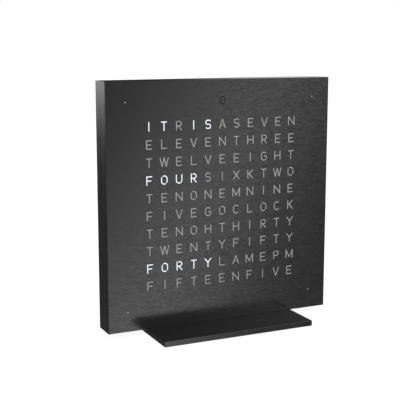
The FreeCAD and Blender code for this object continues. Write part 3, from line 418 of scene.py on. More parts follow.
def sheet_tone(nodes):
    """Tone of the steel sheet: dark in its cuts, and a painted highlight on the chamfer at its foot, which
    lightens the shaded seam over the plate.
    """
    _, y, z = nodes.axes()
    chamfer = FACE_Y + EDGE_BREAK
    front = nodes.ramp(y, FACE_Y + BLUR, chamfer, 1.0, 0.05)
    back = nodes.ramp(y, COVER_BACK - EDGE_BREAK, COVER_BACK - BLUR, 0.0, 0.6)
    # painted highlight: the chamfer at the foot is made six times lighter, against the shade in the seam
    # over the plate
    foot = nodes.ramp(z, COVER_FOOT + EDGE_BREAK, COVER_FOOT + EDGE_BREAK + BLUR, 6.0, 0.0)
    painted_seam_highlight = nodes.product(foot, nodes.ramp(y, chamfer, chamfer + BLUR, 1.0, 0.0))
    return nodes.maths("MAXIMUM", nodes.total(front, back), painted_seam_highlight)


def brushed(name, shade, metallic, roughness, lines, depth, mottle, spread_of_gloss=0.006):
    """Metal brushed along X in fine wavy lines."""
    material, nodes, surface = new_material(name, Metallic=metallic, Anisotropic=0.4)
    surface.inputs["Tangent"].default_value = (0.0, 0.0, 1.0)
    height = brush_lines(nodes, *lines)
    tone = nodes.maths("MULTIPLY_ADD", nodes.ramp(height, LINES_LOW, LINES_HIGH, -mottle, mottle),
                       brush_strength_by_reflection(nodes), 1.0)
    nodes.feed(surface.inputs["Base Color"],
               nodes.tint(shade, nodes.product(tone, sheet_tone(nodes))))
    nodes.feed(surface.inputs["Roughness"],
               nodes.ramp(height, LINES_LOW, LINES_HIGH, roughness - spread_of_gloss,
                          roughness + spread_of_gloss))
    nodes.feed(surface.inputs["Normal"], nodes.bump(height, depth))
    return material


def lit_mask(nodes):
    """1 in the cells of the lit words and 0 in the others."""
    x, _, z = nodes.axes()
    lit = 0.0
    for row, first, last in LIT_WORDS:
        start = letter_place(row, first)
        end = letter_place(row, last)
        across = nodes.maths("COMPARE", x, (start.x + end.x) / 2, (end.x - start.x + PITCH_X) / 2)
        along = nodes.maths("COMPARE", z, start.z, PITCH_Z / 2)
        lit = nodes.maths("MAXIMUM", lit, nodes.product(across, along))
    return lit


def glow(nodes, surface, shade, strength):
    """Makes a surface glow in the cells of the lit words."""
    surface.inputs["Emission Color"].default_value = rgb(shade)
    nodes.feed(surface.inputs["Emission Strength"], nodes.product(lit_mask(nodes), strength))


def opal(name, finish):
    """White resin, a little cloudy, paler in the dots, that glows evenly in the lit letters."""
    material, nodes, surface = new_material(name, Roughness=0.38)
    cloud = nodes.noise(1.2 * MM)
    x, y, _ = nodes.axes()
    dots = nodes.ramp(nodes.maths("ABSOLUTE", x), 48 * MM, 52 * MM, 1.0, 1.5)
    tone = nodes.product(nodes.vary(cloud, 0.94, 1.06), dots)
    nodes.feed(surface.inputs["Base Color"], nodes.tint(finish.resin_colour, tone))
    nodes.feed(surface.inputs["Normal"], nodes.bump(nodes.noise(0.2 * MM), 0.004 * MM))
    letters = nodes.ramp(y, COVER_BACK - 0.05 * MM, COVER_BACK + 0.05 * MM, 1.0, 0.3)
    glow(nodes, surface, finish.lit_colour, nodes.product(letters, finish.lit_strength))
    return material


TRACK_PITCH = 0.8 * MM
TRACK_HALF = 0.16 * MM          # half of a track's width
BUNDLE = 4.0 * MM               # width of a bundle of tracks
PAD_X = 2.6 * MM                # place of a plated hole, beside and above its lamp's middle
PAD_Z = 3.0 * MM


def bundle(nodes, value, region):
    """Tracks side by side, in bundles that are there or not."""
    _, off = nodes.cell(value, 0.0, TRACK_PITCH)
    group, _ = nodes.cell(value, 0.0, BUNDLE)
    there = nodes.maths("GREATER_THAN", nodes.chance(group, region), 0.45)
    return nodes.product(nodes.maths("COMPARE", off, 0.0, TRACK_HALF), there)


def circuit(name, finish):
    """Solder mask over copper tracks: along the rows in front, in bundles both ways behind."""
    material, nodes, surface = new_material(name, Roughness=0.32, Coat_Weight=0.3)
    x, y, z = nodes.axes()
    first = letter_place(1, 1)
    column, along = nodes.cell(x, first.x, PITCH_X)
    row, up = nodes.cell(z, first.z, PITCH_Z)
    behind = nodes.maths("GREATER_THAN", y, (BOARD_FRONT + BOARD_BACK) / 2)
    before = nodes.maths("SUBTRACT", 1.0, behind)
    across, _ = nodes.cell(x, 0.0, 17.0 * MM)
    high, _ = nodes.cell(z, 0.0, 21.0 * MM)
    turned = nodes.maths("GREATER_THAN", nodes.chance(across, high), 0.5)
    level = nodes.product(bundle(nodes, z, across), turned)
    upright = nodes.product(bundle(nodes, x, high), nodes.maths("SUBTRACT", 1.0, turned))
    back = nodes.product(nodes.total(level, upright), behind)
    rows = nodes.maths("COMPARE", up, PAD_Z, TRACK_HALF)
    tracks = nodes.maths("MULTIPLY_ADD", rows, before, back)
    reach = nodes.reach(nodes.maths("SUBTRACT", along, PAD_X), nodes.maths("SUBTRACT", up, PAD_Z))
    ring = nodes.maths("COMPARE", reach, 0.28 * MM, 0.12 * MM)
    some = nodes.maths("GREATER_THAN", nodes.total(nodes.chance(column, row), before), 0.6)
    ring = nodes.product(ring, some)
    mask = nodes.mix(tracks, rgb(finish.board_colour), rgb(finish.trace_colour))
    mask = nodes.tint(mask, nodes.vary(nodes.noise(0.5 * MM), 0.85, 1.15))
    nodes.feed(surface.inputs["Base Color"], nodes.mix(ring, mask, rgb(GOLD)))
    nodes.feed(surface.inputs["Metallic"], ring)
    relief = nodes.maths("MAXIMUM", tracks, ring)
    nodes.feed(surface.inputs["Normal"], nodes.bump(relief, 0.03 * MM))
    return material


def ribbed_rubber(name, shade, centre_x, centre_y, pitch):
    """Rubber with fine rings round the middle of each of four pads."""
    material, nodes, surface = new_material(name, Roughness=0.75)
    x, y, _ = nodes.axes()
    off_x = nodes.maths("SUBTRACT", nodes.maths("ABSOLUTE", x), centre_x)
    off_y = nodes.maths("SUBTRACT", nodes.maths("ABSOLUTE", y), centre_y)
    rings = nodes.maths("PINGPONG", nodes.reach(off_x, off_y), pitch / 2)
    height = nodes.ramp(rings, 0.0, pitch / 2)
    grain = nodes.noise(0.25 * MM, detail=3.0)
    nodes.feed(surface.inputs["Base Color"], nodes.tint(shade, nodes.vary(grain, 0.8, 1.25)))
    rough = nodes.bump(grain, 0.01 * MM)
    nodes.feed(surface.inputs["Normal"], nodes.bump(height, 0.15 * MM, under=rough))
    return material


def clear_plastic(name):
    """Clear plastic with a faint haze."""
    material, nodes, surface = new_material(name, Transmission_Weight=0.9, IOR=1.49)
    haze = nodes.noise(0.6 * MM)
    nodes.feed(surface.inputs["Roughness"], nodes.vary(haze, 0.08, 0.2))
    tone = nodes.ramp(haze, 0.2, 0.8, 0.95, 1.0)
    nodes.feed(surface.inputs["Base Color"], nodes.tint((0.75, 0.78, 0.8), tone))
    return material


def phosphor(name, finish):
    """Yellow filling of a lamp, which glows in the lit cells."""
    material, nodes, surface = new_material(name, Roughness=0.3)
    nodes.feed(surface.inputs["Base Color"],
               nodes.tint(finish.phosphor_colour, nodes.vary(nodes.noise(0.12 * MM), 0.9, 1.1)))
    glow(nodes, surface, finish.lit_colour, 0.75)
    return material


# colours of bare metals and of what else keeps its own colour
STEEL = (0.56, 0.56, 0.57)
NICKEL = (0.62, 0.60, 0.57)
TIN = (0.66, 0.66, 0.68)
GOLD = (0.90, 0.66, 0.28)
BRASS = (0.76, 0.56, 0.24)
BRONZE = (0.62, 0.40, 0.22)
CERAMIC = (0.42, 0.30, 0.18)
DARK_GLASS = (0.03, 0.012, 0.02)


def metal(name, shade, roughness):
    """Plated or bare metal of a small part."""
    return grained(name, shade, 1.0, roughness, 0.12 * MM, 0.0003 * MM, 0.03, 0.03)


def plastic(name, shade, roughness=0.5, grain=0.3 * MM, relief=0.006 * MM):
    """Moulded plastic with a fine spark-eroded grain."""
    return grained(name, shade, 0.0, roughness, grain, relief, 0.05, 0.03)


def once(make, name, *values):
    """Material of that name, made only the first time."""
    return bpy.data.materials.get(name) or make(name, *values)


METALS = {                      # colour and roughness
    "black_zinc": ((0.05, 0.05, 0.052), 0.35),
    "brass": (BRASS, 0.3),
    "bright_zinc": (TIN, 0.25),
    "bronze": (BRONZE, 0.3),
    "cell_case": (STEEL, 0.22),
    "drawn_steel": (NICKEL, 0.2),
    "gold": (GOLD, 0.25),
    "nickel_plate": (NICKEL, 0.16),
    "sprung_steel": (STEEL, 0.25),
    "tin": (TIN, 0.3),
    "welded_steel": (STEEL, 0.28),
}


def bare(name):
    """One of the metals."""
    return once(metal, name, *METALS[name])


def lamp_case(finish):
    """White plastic of the lamps."""
    return once(plastic, "lamp_case", finish.lamp_colour, 0.4)


def epoxy(finish):
    """Black body of chips and resistors."""
    return once(plastic, "chip_epoxy", finish.chip_colour, 0.45, 0.12 * MM, 0.004 * MM)


def dark_glass():
    """Nearly black glass of seals and windows."""
    return once(plastic, "dark_glass", DARK_GLASS, 0.15)


def dress(node, material):
    """Gives a node of the frame its material."""
    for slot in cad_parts[node].material_slots:
        slot.material = material


# ---------------------------------------------------------------- modelling by hand
def pick(*pieces):
    """Object mode, with just these pieces selected and the first one active."""
    if bpy.context.mode != "OBJECT":
        bpy.ops.object.mode_set(mode="OBJECT")
    bpy.ops.object.select_all(action="DESELECT")
    for piece in pieces:
        piece.select_set(True)
    if pieces:
        bpy.context.view_layer.objects.active = pieces[0]


@contextmanager
def shaping(piece):
    """Edit mode on one piece, for the statements inside."""
    pick(piece)
    bpy.ops.object.mode_set(mode="EDIT")
    bpy.ops.mesh.select_all(action="SELECT")
    yield
    bpy.ops.object.mode_set(mode="OBJECT")


def select_faces(test):
    """In edit mode, selects just the faces whose centre and normal pass a test."""
    bpy.ops.mesh.select_mode(type="FACE")
    bpy.ops.mesh.select_all(action="DESELECT")
    mesh = bmesh.from_edit_mesh(bpy.context.object.data)
    for face in mesh.faces:
        if test(face.calc_center_median(), face.normal):
            face.select_set(True)
    bmesh.update_edit_mesh(bpy.context.object.data)


def select_edges(test):
    """In edit mode, selects just the edges whose ends and faces pass a test."""
    bpy.ops.mesh.select_mode(type="EDGE")
    bpy.ops.mesh.select_all(action="DESELECT")
    mesh = bmesh.from_edit_mesh(bpy.context.object.data)
    for edge in mesh.edges:
        if test(edge.verts[0].co, edge.verts[1].co, len(edge.link_faces)):
            edge.select_set(True)
    bmesh.update_edit_mesh(bpy.context.object.data)


def paint_selected(piece, material):
    """In edit mode, gives the selected faces another material."""
    piece.data.materials.append(material)
    piece.active_material_index = len(piece.data.materials) - 1
    bpy.ops.object.material_slot_assign()


def extrude(step):
    """Extrudes what is selected, by a step."""
    bpy.ops.mesh.extrude_region_move(TRANSFORM_OT_translate={"value": step})


def bevel(offset, segments=1):
    """Rounds or chamfers the selected edges."""
    bpy.ops.mesh.bevel(offset=offset, segments=segments, affect="EDGES")


def both_ends(test):
    """Test for edges of which both ends pass a test."""
    return lambda first, second, faces: test(first) and test(second)


def at_depth(y):
    """Test for edges that lie at one depth."""
    return both_ends(lambda point: abs(point.y - y) < TOUCHING)


def facing_back(centre, normal):
    """Test for flat faces that face away from the front."""
    return normal.y > FLAT


def facing_front(centre, normal):
    """Test for flat faces that face the front."""
    return normal.y < -FLAT


def facing_down(centre, normal):
    """Test for flat faces that face down."""
    return normal.z < -FLAT


def apply_place():
    """Puts the place, turn and size of the selected pieces in their meshes."""
    bpy.ops.object.transform_apply(location=True, rotation=True, scale=True)


def named(name, material):
    """Names the new piece, gives it its material and puts its place in its mesh."""
    piece = bpy.context.object
    piece.name = name
    piece.data.name = name
    piece.data.materials.append(material)
    apply_place()
    return piece


def block(name, x, y, z, material, edge, segments=1):
    """Box between two values along each axis, with its edges broken."""
    pick()
    bpy.ops.mesh.primitive_cube_add(size=1.0, location=[sum(ends) / 2 for ends in (x, y, z)],
                                    scale=[ends[1] - ends[0] for ends in (x, y, z)])
    piece = named(name, material)
    with shaping(piece):
        bevel(edge, segments)
    return piece


def rod(name, radius, y, material, x=0.0, z=0.0, sides=32):
    """Cylinder that runs straight back, from one depth to another."""
    pick()
    bpy.ops.mesh.primitive_cylinder_add(vertices=sides, radius=radius, depth=y[1] - y[0],
                                        location=(x, (y[0] + y[1]) / 2, z),
                                        rotation=(math.pi / 2, 0.0, 0.0))
    return named(name, material)


def round_rim(piece, y, offset, segments=3):
    """Rounds the edges of a piece that lie at one depth."""
    with shaping(piece):
        select_edges(at_depth(y))
        bevel(offset, segments)


def modify(piece, kind, **settings):
    """Adds a modifier with its settings and applies it."""
    pick(piece)
    modifier = piece.modifiers.new(kind, kind)
    for name, value in settings.items():
        setattr(modifier, name, value)
    bpy.ops.object.modifier_apply(modifier=modifier.name)


def carve(piece, cutter):
    """Cuts one shape out of a piece."""
    modify(piece, "BOOLEAN", operation="DIFFERENCE", solver="EXACT", object=cutter)
    pick(cutter)
    bpy.ops.object.delete()


def joined(name, pieces):
    """One piece of several."""
    pick(*pieces)
    bpy.ops.object.join()
    whole = bpy.context.object
    whole.name = name
    whole.data.name = name
    return whole


def spread(piece, places, turns=None):
    """Copies a piece to each place, each copy with its own mesh, and joins the copies."""
    copies = [piece]
    for _ in places[1:]:
        pick(piece)
        bpy.ops.object.duplicate(linked=False)
        copies.append(bpy.context.object)
    for step, (copy, place) in enumerate(zip(copies, places)):
        copy.location = place
        if turns:
            copy.rotation_euler = turns[step]
    pick(*copies)
    if places[1:]:
        bpy.ops.object.join()
    apply_place()
    return bpy.context.object


def strip(name, start, run, steps, width, thickness, material, bend):
    """Sheet metal strip: a first run that lies on the board, folded along more steps."""
    pick()
    along_x = abs(run.x) > abs(run.z)
    size = (abs(run.x), width, 1.0) if along_x else (width, abs(run.z), 1.0)
    bpy.ops.mesh.primitive_plane_add(size=1.0, location=start + run / 2, rotation=(math.pi / 2, 0.0, 0.0))
    bpy.context.object.scale = size
    piece = named(name, material)
    end = start + run
    with shaping(piece):
        select_edges(both_ends(lambda point: abs((point - end).dot(run)) < TOUCHING * run.length))
        for step in steps:
            extrude(step)
        select_edges(lambda first, second, faces: faces == 2)
        bevel(bend, 3)
    modify(piece, "SOLIDIFY", thickness=thickness, offset=0.0, use_even_offset=True)
    with shaping(piece):
        bpy.ops.mesh.normals_make_consistent(inside=False)
    return piece


def fit(piece, body, slot, *nodes):
    """Last step for a new piece: soft shading, its body and the nodes it stands for, which it hides; the
    slot is not used.
    """
    pick(piece)
    bpy.ops.object.shade_smooth_by_angle(angle=SMOOTH_ANGLE)
    modify(piece, "WEIGHTED_NORMAL", keep_sharp=True)
    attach(piece, body)
    if nodes:
        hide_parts(*nodes)


# ---------------------------------------------------------------- screws
RIDGE = 0.52                    # size of a thread's ridge, in pitches
PAN_ROUND = 0.48                # rounding of a pan head, as a share of its height
CROSS_WIDE = 0.24               # recesses, as shares of the head's radius
CROSS_LONG = 1.1
HEX_REACH = 0.41
CROSS_DEEP = 0.62               # and as a share of its height


def thread(name, radius, top, bottom, pitch, material):
    """Ridge that winds round Z from top to bottom, closed at both ends."""
    pick()
    side = pitch * RIDGE
    bpy.ops.mesh.primitive_circle_add(vertices=3, radius=side, location=(radius - side, 0.0, top - side),
                                      rotation=(math.pi / 2, math.pi / 2, 0.0))
    ridge = named(name, material)
    turns = int((top - bottom - 2 * side) / pitch)
    modify(ridge, "SCREW", axis="Z", angle=2 * math.pi, screw_offset=-pitch, iterations=turns,
           steps=16, render_steps=16, use_normal_calculate=True)
    with shaping(ridge):
        bpy.ops.mesh.fill_holes(sides=3)
        bpy.ops.mesh.normals_make_consistent(inside=False)
    return ridge


def cross_cutter(wide, long, deep):
    """Tapered cross that a cross-head driver fits, down from the origin."""
    arms = []
    for turn in (0.0, math.pi / 2):
        pick()
        bpy.ops.mesh.primitive_cube_add(size=1.0, location=(0.0, 0.0, -deep / 2),
                                        rotation=(0.0, 0.0, turn), scale=(long, wide, deep * 1.2))
        arm = bpy.context.object
        apply_place()
        with shaping(arm):
            select_faces(facing_down)
            bpy.ops.transform.resize(value=(0.45, 0.45, 1.0))
        arms.append(arm)
    modify(arms[0], "BOOLEAN", operation="UNION", solver="EXACT", object=arms[1])
    pick(arms[1])
    bpy.ops.object.delete()
    return arms[0]


def screw(name, radius, length_all, head, pitch, depth, driver, material):
    """Screw along Z, with the top of its head at the origin. Head: radius, height, kind."""
    head_radius, head_high, kind = head
    core_top = -head_high * 0.8     # a little inside the head
    pick()
    if kind == "pan":
        bpy.ops.mesh.primitive_cylinder_add(vertices=40, radius=head_radius, depth=head_high,
                                            location=(0.0, 0.0, -head_high / 2))
    else:
        bpy.ops.mesh.primitive_cone_add(vertices=40, radius1=radius, radius2=head_radius,
                                        depth=head_high, location=(0.0, 0.0, -head_high / 2))
    top = named(name, material)
    if kind == "pan":
        with shaping(top):
            select_edges(both_ends(lambda point: point.z > -TOUCHING))
            bevel(head_high * PAN_ROUND, 5)
    if driver == "cross":
        cutter = cross_cutter(head_radius * CROSS_WIDE, head_radius * CROSS_LONG, head_high * CROSS_DEEP)
    else:
        bpy.ops.mesh.primitive_cylinder_add(vertices=6, radius=head_radius * HEX_REACH,
                                            depth=head_high * 1.6)
        cutter = bpy.context.object
        with shaping(cutter):
            select_faces(facing_down)
            bpy.ops.mesh.inset(thickness=head_radius * 0.2, depth=head_radius * 0.08)
    carve(top, cutter)
    pick()
    bpy.ops.mesh.primitive_cylinder_add(vertices=32, radius=radius - depth,
                                        depth=core_top + length_all,
                                        location=(0.0, 0.0, (core_top - length_all) / 2))
    core = named(name + "_core", material)
    with shaping(core):
        select_edges(both_ends(lambda point: point.z < TOUCHING - length_all))
        bevel((radius - depth) * 0.4)
    ridge = thread(name + "_thread", radius, -head_high, -length_all, pitch, material)
    return joined(name, [top, core, ridge])


# ---------------------------------------------------------------- the front cover
class WORDCLOCK_OT_front_cover(bpy.types.Operator):
    """Brushed black steel sheet, with its studs behind"""
    bl_idname = "wordclock.front_cover"
    bl_label = "Front cover"

    def execute(self, context):
        finish = context.scene.word_clock_finish
        dress("front_cover", brushed("brushed_black_steel", finish.sheet_colour, finish.sheet_metal,
                                     finish.sheet_roughness, (finish.brush_length, finish.brush_width),
                                     finish.brush_depth, finish.brush_tone))
        dress("locating_studs", bare("welded_steel"))
        return {"FINISHED"}


class WORDCLOCK_OT_letters(bpy.types.Operator):
    """White resin in the letters, of which the words that tell the time are lit"""
    bl_idname = "wordclock.letters"
    bl_label = "Letters"

    def execute(self, context):
        dress("opal_infill", opal("opal_resin", context.scene.word_clock_finish))
        return {"FINISHED"}


# ---------------------------------------------------------------- housing, rear cover and stand
KNURL_SIDES = 48
BAND_START = 0.08               # knurled bands, from the middle, as shares of the insert's height
BAND_END = 0.38


class WORDCLOCK_OT_housing(bpy.types.Operator):
    """Black frame with its magnets and threaded inserts"""
    bl_idname = "wordclock.housing"
    bl_label = "Housing"

    def execute(self, context):
        finish = context.scene.word_clock_finish
        dress("housing", grained("black_anodised", finish.housing_colour, 0.8, 0.2, 0.3 * MM,
                                 0.0015 * MM, mottle=0.09, spread_of_gloss=0.02))
        self.magnets()
        self.inserts()
        return {"FINISHED"}

    def magnets(self):
        """Four nickel plated magnets with rounded edges."""
        boxes = corner_boxes("cover_magnets")
        low, high = boxes[0]
        deep = (high.y - low.y) / 2
        magnet = rod("corner_magnets", (high.z - low.z) / 2, (-deep, deep),
                     bare("nickel_plate"), sides=48)
        round_rim(magnet, -deep, 0.25 * MM)
        round_rim(magnet, deep, 0.25 * MM)
        magnet = spread(magnet, [middle(box) for box in boxes])
        fit(magnet, "clock", "magnet_nickel", "cover_magnets")

    def inserts(self):
        """Two brass inserts with two knurled bands and a groove between them."""
        boxes = side_boxes("stand_inserts")
        low, high = boxes[0]
        radius = (high.x - low.x) / 2
        high_all = high.z - low.z
        knurl = 0.12 * MM
        pick()
        bpy.ops.mesh.primitive_cylinder_add(vertices=KNURL_SIDES, radius=radius - knurl,
                                            depth=high_all)
        insert = named("threaded_inserts", bare("brass"))
        with shaping(insert):
            for level in (-BAND_END, -BAND_START, BAND_START, BAND_END):
                bpy.ops.mesh.select_all(action="SELECT")
                bpy.ops.mesh.bisect(plane_co=(0.0, 0.0, level * high_all), plane_no=(0.0, 0.0, 1.0))
            select_faces(self.on_a_tooth(high_all))
            bpy.ops.mesh.inset(thickness=0.02 * MM, depth=knurl, use_individual=True)
            select_faces(lambda centre, normal: abs(centre.z) > high_all / 2 - TOUCHING)
            bpy.ops.mesh.inset(thickness=radius - knurl - M3_RADIUS, use_individual=True)
            bpy.ops.mesh.bridge_edge_loops()
        insert = spread(insert, [middle(box) for box in boxes])
        fit(insert, "clock", "insert_brass", "stand_inserts")

    def on_a_tooth(self, high_all):
        """Test for every second facet of the two knurled bands."""
        def test(centre, normal):
            in_band = BAND_START * high_all < abs(centre.z) < BAND_END * high_all
            if abs(normal.z) > 0.5 or not in_band:
                return False
            turn = math.atan2(centre.y, centre.x) / (2 * math.pi)
            return round(turn * KNURL_SIDES - 0.5) % 2 == 0
        return test


class WORDCLOCK_OT_rear_cover(bpy.types.Operator):
    """Moulded rear cover with its clear window"""
    bl_idname = "wordclock.rear_cover"
    bl_label = "Rear cover"

    def execute(self, context):
        finish = context.scene.word_clock_finish
        dress("rear_cover", plastic("rear_plastic", finish.rear_colour, 0.52, 0.35 * MM, 0.012 * MM))
        dress("sensor_window", clear_plastic("clear_window"))
        return {"FINISHED"}


class WORDCLOCK_OT_stand(bpy.types.Operator):
    """Powder coated base plate on four ribbed rubber pads"""
    bl_idname = "wordclock.stand"
    bl_label = "Stand"

    def execute(self, context):
        finish = context.scene.word_clock_finish
        dress("base_plate", grained("black_powder_coat", finish.plate_colour, 0.8, 0.2, 0.3 * MM,
                                    0.001 * MM, mottle=0.06, spread_of_gloss=0.02))
        pad = middle(part_box("foot_pads", lambda point: point.x > 0 and point.y > 0))
        dress("foot_pads", ribbed_rubber("ribbed_rubber", finish.rubber_colour, pad.x, pad.y, 0.9 * MM))
        return {"FINISHED"}


class WORDCLOCK_OT_screws(bpy.types.Operator):
    """Screws with cut threads and driver recesses"""
    bl_idname = "wordclock.screws"
    bl_label = "Screws"

    def execute(self, context):
        sizes = context.scene.word_clock_small_parts
        black = bare("black_zinc")
        bright = bare("bright_zinc")
        boxes = corner_boxes("rear_cover_screws")
        low, high = boxes[0]
        head = ((high.z - low.z) / 2, (high.z - low.z) / 2 - M2_RADIUS, "flat")
        rear = screw("rear_cover_fixings", M2_RADIUS, high.y - low.y, head, sizes.small_pitch,
                     sizes.thread_depth, "cross", black)
        self.drive(rear, boxes, "screw_black", "rear_cover_screws")
        for node, name in (("board_screws", "board_fixings"), ("grid_screws", "grid_fixings")):
            boxes = corner_boxes(node)
            low, high = boxes[0]
            head = ((high.z - low.z) / 2, high.y - BOARD_BACK, "pan")
            pan = screw(name, M2_RADIUS, high.y - low.y, head, sizes.small_pitch,
                        sizes.thread_depth, "cross", bright)
            self.drive(pan, boxes, "screw_zinc", node)
        boxes = side_boxes("stand_screws")
        low, high = boxes[0]
        head = ((high.x - low.x) / 2, (high.x - low.x) / 2 - M3_RADIUS, "flat")
        stand = screw("stand_fixings", M3_RADIUS, high.z - low.z, head, sizes.large_pitch,
                      sizes.thread_depth, "hex", black)
        places = [Vector((middle(box).x, middle(box).y, box[0].z)) for box in boxes]
        stand = spread(stand, places, [(math.pi, 0.0, 0.0)] * len(places))
        fit(stand, "clock", "screw_black", "stand_screws")
        return {"FINISHED"}

    def drive(self, piece, boxes, slot, node):
        """Sets a screw into its four holes from behind."""
        places = [at_y(middle(box), box[1].y) for box in boxes]
        piece = spread(piece, places, [(-math.pi / 2, 0.0, 0.0)] * len(places))
        fit(piece, "clock", slot, node)


# ---------------------------------------------------------------- lamps and their board
class WORDCLOCK_OT_lamps(bpy.types.Operator):
    """One lamp behind each letter, and a small one behind each minute dot"""
    bl_idname = "wordclock.lamps"
    bl_label = "Lamps"

    def execute(self, context):
        finish = context.scene.word_clock_finish
        self.letter_lamps(finish)
        self.dot_lamps(finish)
        return {"FINISHED"}

    def letter_lamps(self, finish):
        """Lamps with a bevelled white case, a filled bowl and two tinned ends."""
        half_x = LAMP_SIZE.x / 2
        half_z = LAMP_SIZE.z / 2
        lens = 0.12 * MM
        end = 0.16 * MM
        case_front = -LAMP_SIZE.y + lens
        case = block("lamp_case", (-half_x, half_x), (case_front, -0.02 * MM), (end - half_z, half_z - end),
                     lamp_case(finish), 0.12 * MM)
        bowl = rod("lamp_bowl", 1.1 * MM, (-LAMP_SIZE.y, case_front + lens),
                   once(phosphor, "phosphor", finish), sides=16)
        with shaping(bowl):
            select_faces(facing_front)
            bpy.ops.mesh.inset(thickness=0.22 * MM, depth=-0.06 * MM)
        ends = []
        for side in SIDES:
            z = sorted((side * half_z, side * (half_z - 2 * end)))
            ends.append(block("lamp_end", (-half_x * 0.8, half_x * 0.8), (-0.3 * MM, 0.0), z,
                              bare("tin"), 0.04 * MM))
        lamp = joined("letter_lamps", [case, bowl, *ends])
        lamp = spread(lamp, [at_y(letter_place(row, column), BOARD_FRONT)
                             for row in range(1, ROWS + 1) for column in range(1, COLUMNS + 1)])
        fit(lamp, "clock", "lamp_white", "leds")

    def dot_lamps(self, finish):
        """Small lamps with a phosphor body on a white base."""
        boxes = corner_boxes("dot_leds")
        size = boxes[0][1] - boxes[0][0]
        half_x = size.x / 2
        half_z = size.z / 2
        base = block("dot_base", (-half_x, half_x), (-0.2 * MM, 0.0), (-half_z, half_z),
                     lamp_case(finish), 0.03 * MM)
        body = block("dot_body", (-half_x, half_x), (-size.y, -0.15 * MM), (-half_z * 0.7, half_z * 0.7),
                     once(phosphor, "phosphor", finish), 0.08 * MM, 2)
        ends = []
        for side in SIDES:
            z = sorted((side * half_z, side * half_z * 0.74))
            ends.append(block("dot_end", (-half_x, half_x), (-0.28 * MM, 0.0), z,
                              bare("gold"), 0.03 * MM))
        lamp = joined("dot_lamps", [base, body, *ends])
        lamp = spread(lamp, [at_y(middle(box), BOARD_FRONT) for box in boxes])
        fit(lamp, "clock", "lamp_white", "dot_leds")


class WORDCLOCK_OT_board(bpy.types.Operator):
    """Circuit board with its tracks, the light grid and the touch contact"""
    bl_idname = "wordclock.board"
    bl_label = "Circuit board"

    def execute(self, context):
        finish = context.scene.word_clock_finish
        dress("led_board", circuit("circuit_board", finish))
        dress("light_grid", plastic("grid_plastic", finish.grid_colour, 0.55, 0.4 * MM, 0.008 * MM))
        low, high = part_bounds("touch_spring")
        thick = 0.2 * MM
        width = high.x - low.x
        long = high.z - low.z
        start = Vector((0.0, high.y - thick / 2, high.z))
        run = Vector((0.0, 0.0, thick / 2 - long))
        rise = Vector((0.0, low.y - high.y + thick, 0.0))
        back = Vector((0.0, 0.0, long - thick))
        contact = strip("touch_contact", start, run, [rise, back], width, thick,
                        bare("bronze"), 0.35 * MM)
        fit(contact, "clock", "spring_bronze", "touch_spring")
        return {"FINISHED"}


LEAD_BEND = 0.08 * MM           # rounding of the bends in the leads of chips and small parts
DRIVER_PADS = 6                 # on each side of a lamp driver


class WORDCLOCK_OT_chips(bpy.types.Operator):
    """Controller with bent leads, and the four lamp drivers"""
    bl_idname = "wordclock.chips"
    bl_label = "Chips"

    def execute(self, context):
        finish = context.scene.word_clock_finish
        sizes = context.scene.word_clock_small_parts
        self.controller(sizes, epoxy(finish))
        self.drivers(sizes, epoxy(finish))
        return {"FINISHED"}

    def chip_body(self, name, half, y, black):
        """Moulded body with sloping sides and a dimple at its first lead."""
        body = block(name, (-half, half), y, (-half, half), black, 0.06 * MM)
        with shaping(body):
            bpy.ops.mesh.bisect(plane_co=(0.0, sum(y) / 2, 0.0), plane_no=(0.0, 1.0, 0.0))
            for test in (facing_back, facing_front):
                select_faces(test)
                bpy.ops.transform.resize(value=(0.965, 1.0, 0.965))
        dimple = rod("dimple", half * 0.1, (y[1] - 0.08 * MM, y[1] + 0.2 * MM), black,
                     x=half * 0.72, z=half * 0.72, sides=20)
        carve(body, dimple)
        return body

    def four_rows(self, piece, count, pitch):
        """Copies a lead or a pad in a row along each side of a chip."""
        places = []
        turns = []
        for quarter in range(4):
            angle = quarter * math.pi / 2
            turn = Matrix.Rotation(angle, 3, "Y")
            for step in range(count):
                places.append(turn @ Vector((0.0, 0.0, (step - (count - 1) / 2) * pitch)))
                turns.append((0.0, angle, 0.0))
        return spread(piece, places, turns)

    def controller(self, sizes, black):
        """Flat chip with a row of bent leads on each side."""
        low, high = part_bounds("controller_chip")
        reach = (high.x - low.x) / 2
        half = reach - 1.0 * MM
        body = self.chip_body("controller_body", half, (0.1 * MM, high.y - low.y), black)
        thick = 0.15 * MM
        lead = strip("lead", Vector((reach, thick / 2, 0.0)), Vector((-0.45 * MM, 0.0, 0.0)),
                     [Vector((-0.2 * MM, 0.5 * MM, 0.0)), Vector((-0.5 * MM, 0.0, 0.0))],
                     sizes.lead_width, thick, bare("tin"), LEAD_BEND)
        leads = self.four_rows(lead, sizes.leads_per_side, sizes.lead_pitch)
        chip = joined("controller", [body, leads])
        chip = spread(chip, [at_y(middle((low, high)), BOARD_BACK)])
        fit(chip, "clock", "chip_black", "controller_chip")

    def drivers(self, sizes, black):
        """Four square chips without leads, with pads at their edges."""
        boxes = corner_boxes("led_drivers")
        size = boxes[0][1] - boxes[0][0]
        half = size.x / 2
        body = self.chip_body("driver_body", half - 0.02 * MM, (0.0, size.y), black)
        pad_half = sizes.lead_width / 2
        pad = block("pad", (half - 0.3 * MM, half), (0.0, 0.2 * MM), (-pad_half, pad_half),
                    bare("tin"), 0.03 * MM)
        pads = self.four_rows(pad, DRIVER_PADS, sizes.lead_pitch)
        chip = joined("lamp_drivers", [body, pads])
        chip = spread(chip, [at_y(middle(box), BOARD_BACK) for box in boxes])
        fit(chip, "clock", "chip_black", "led_drivers")


PULL_UPS = 4                    # resistors above each lamp driver
PULL_UP_PITCH = 2.4 * MM
LIMITERS = 7                    # resistors in a row at the left and at the right
LIMITER_PITCH = 2.2 * MM
ABOVE_DRIVER = 5.6 * MM         # from a chip's or a key's middle to its small parts
BESIDE_DRIVER = 5.4 * MM
BELOW_KEY = 5.2 * MM


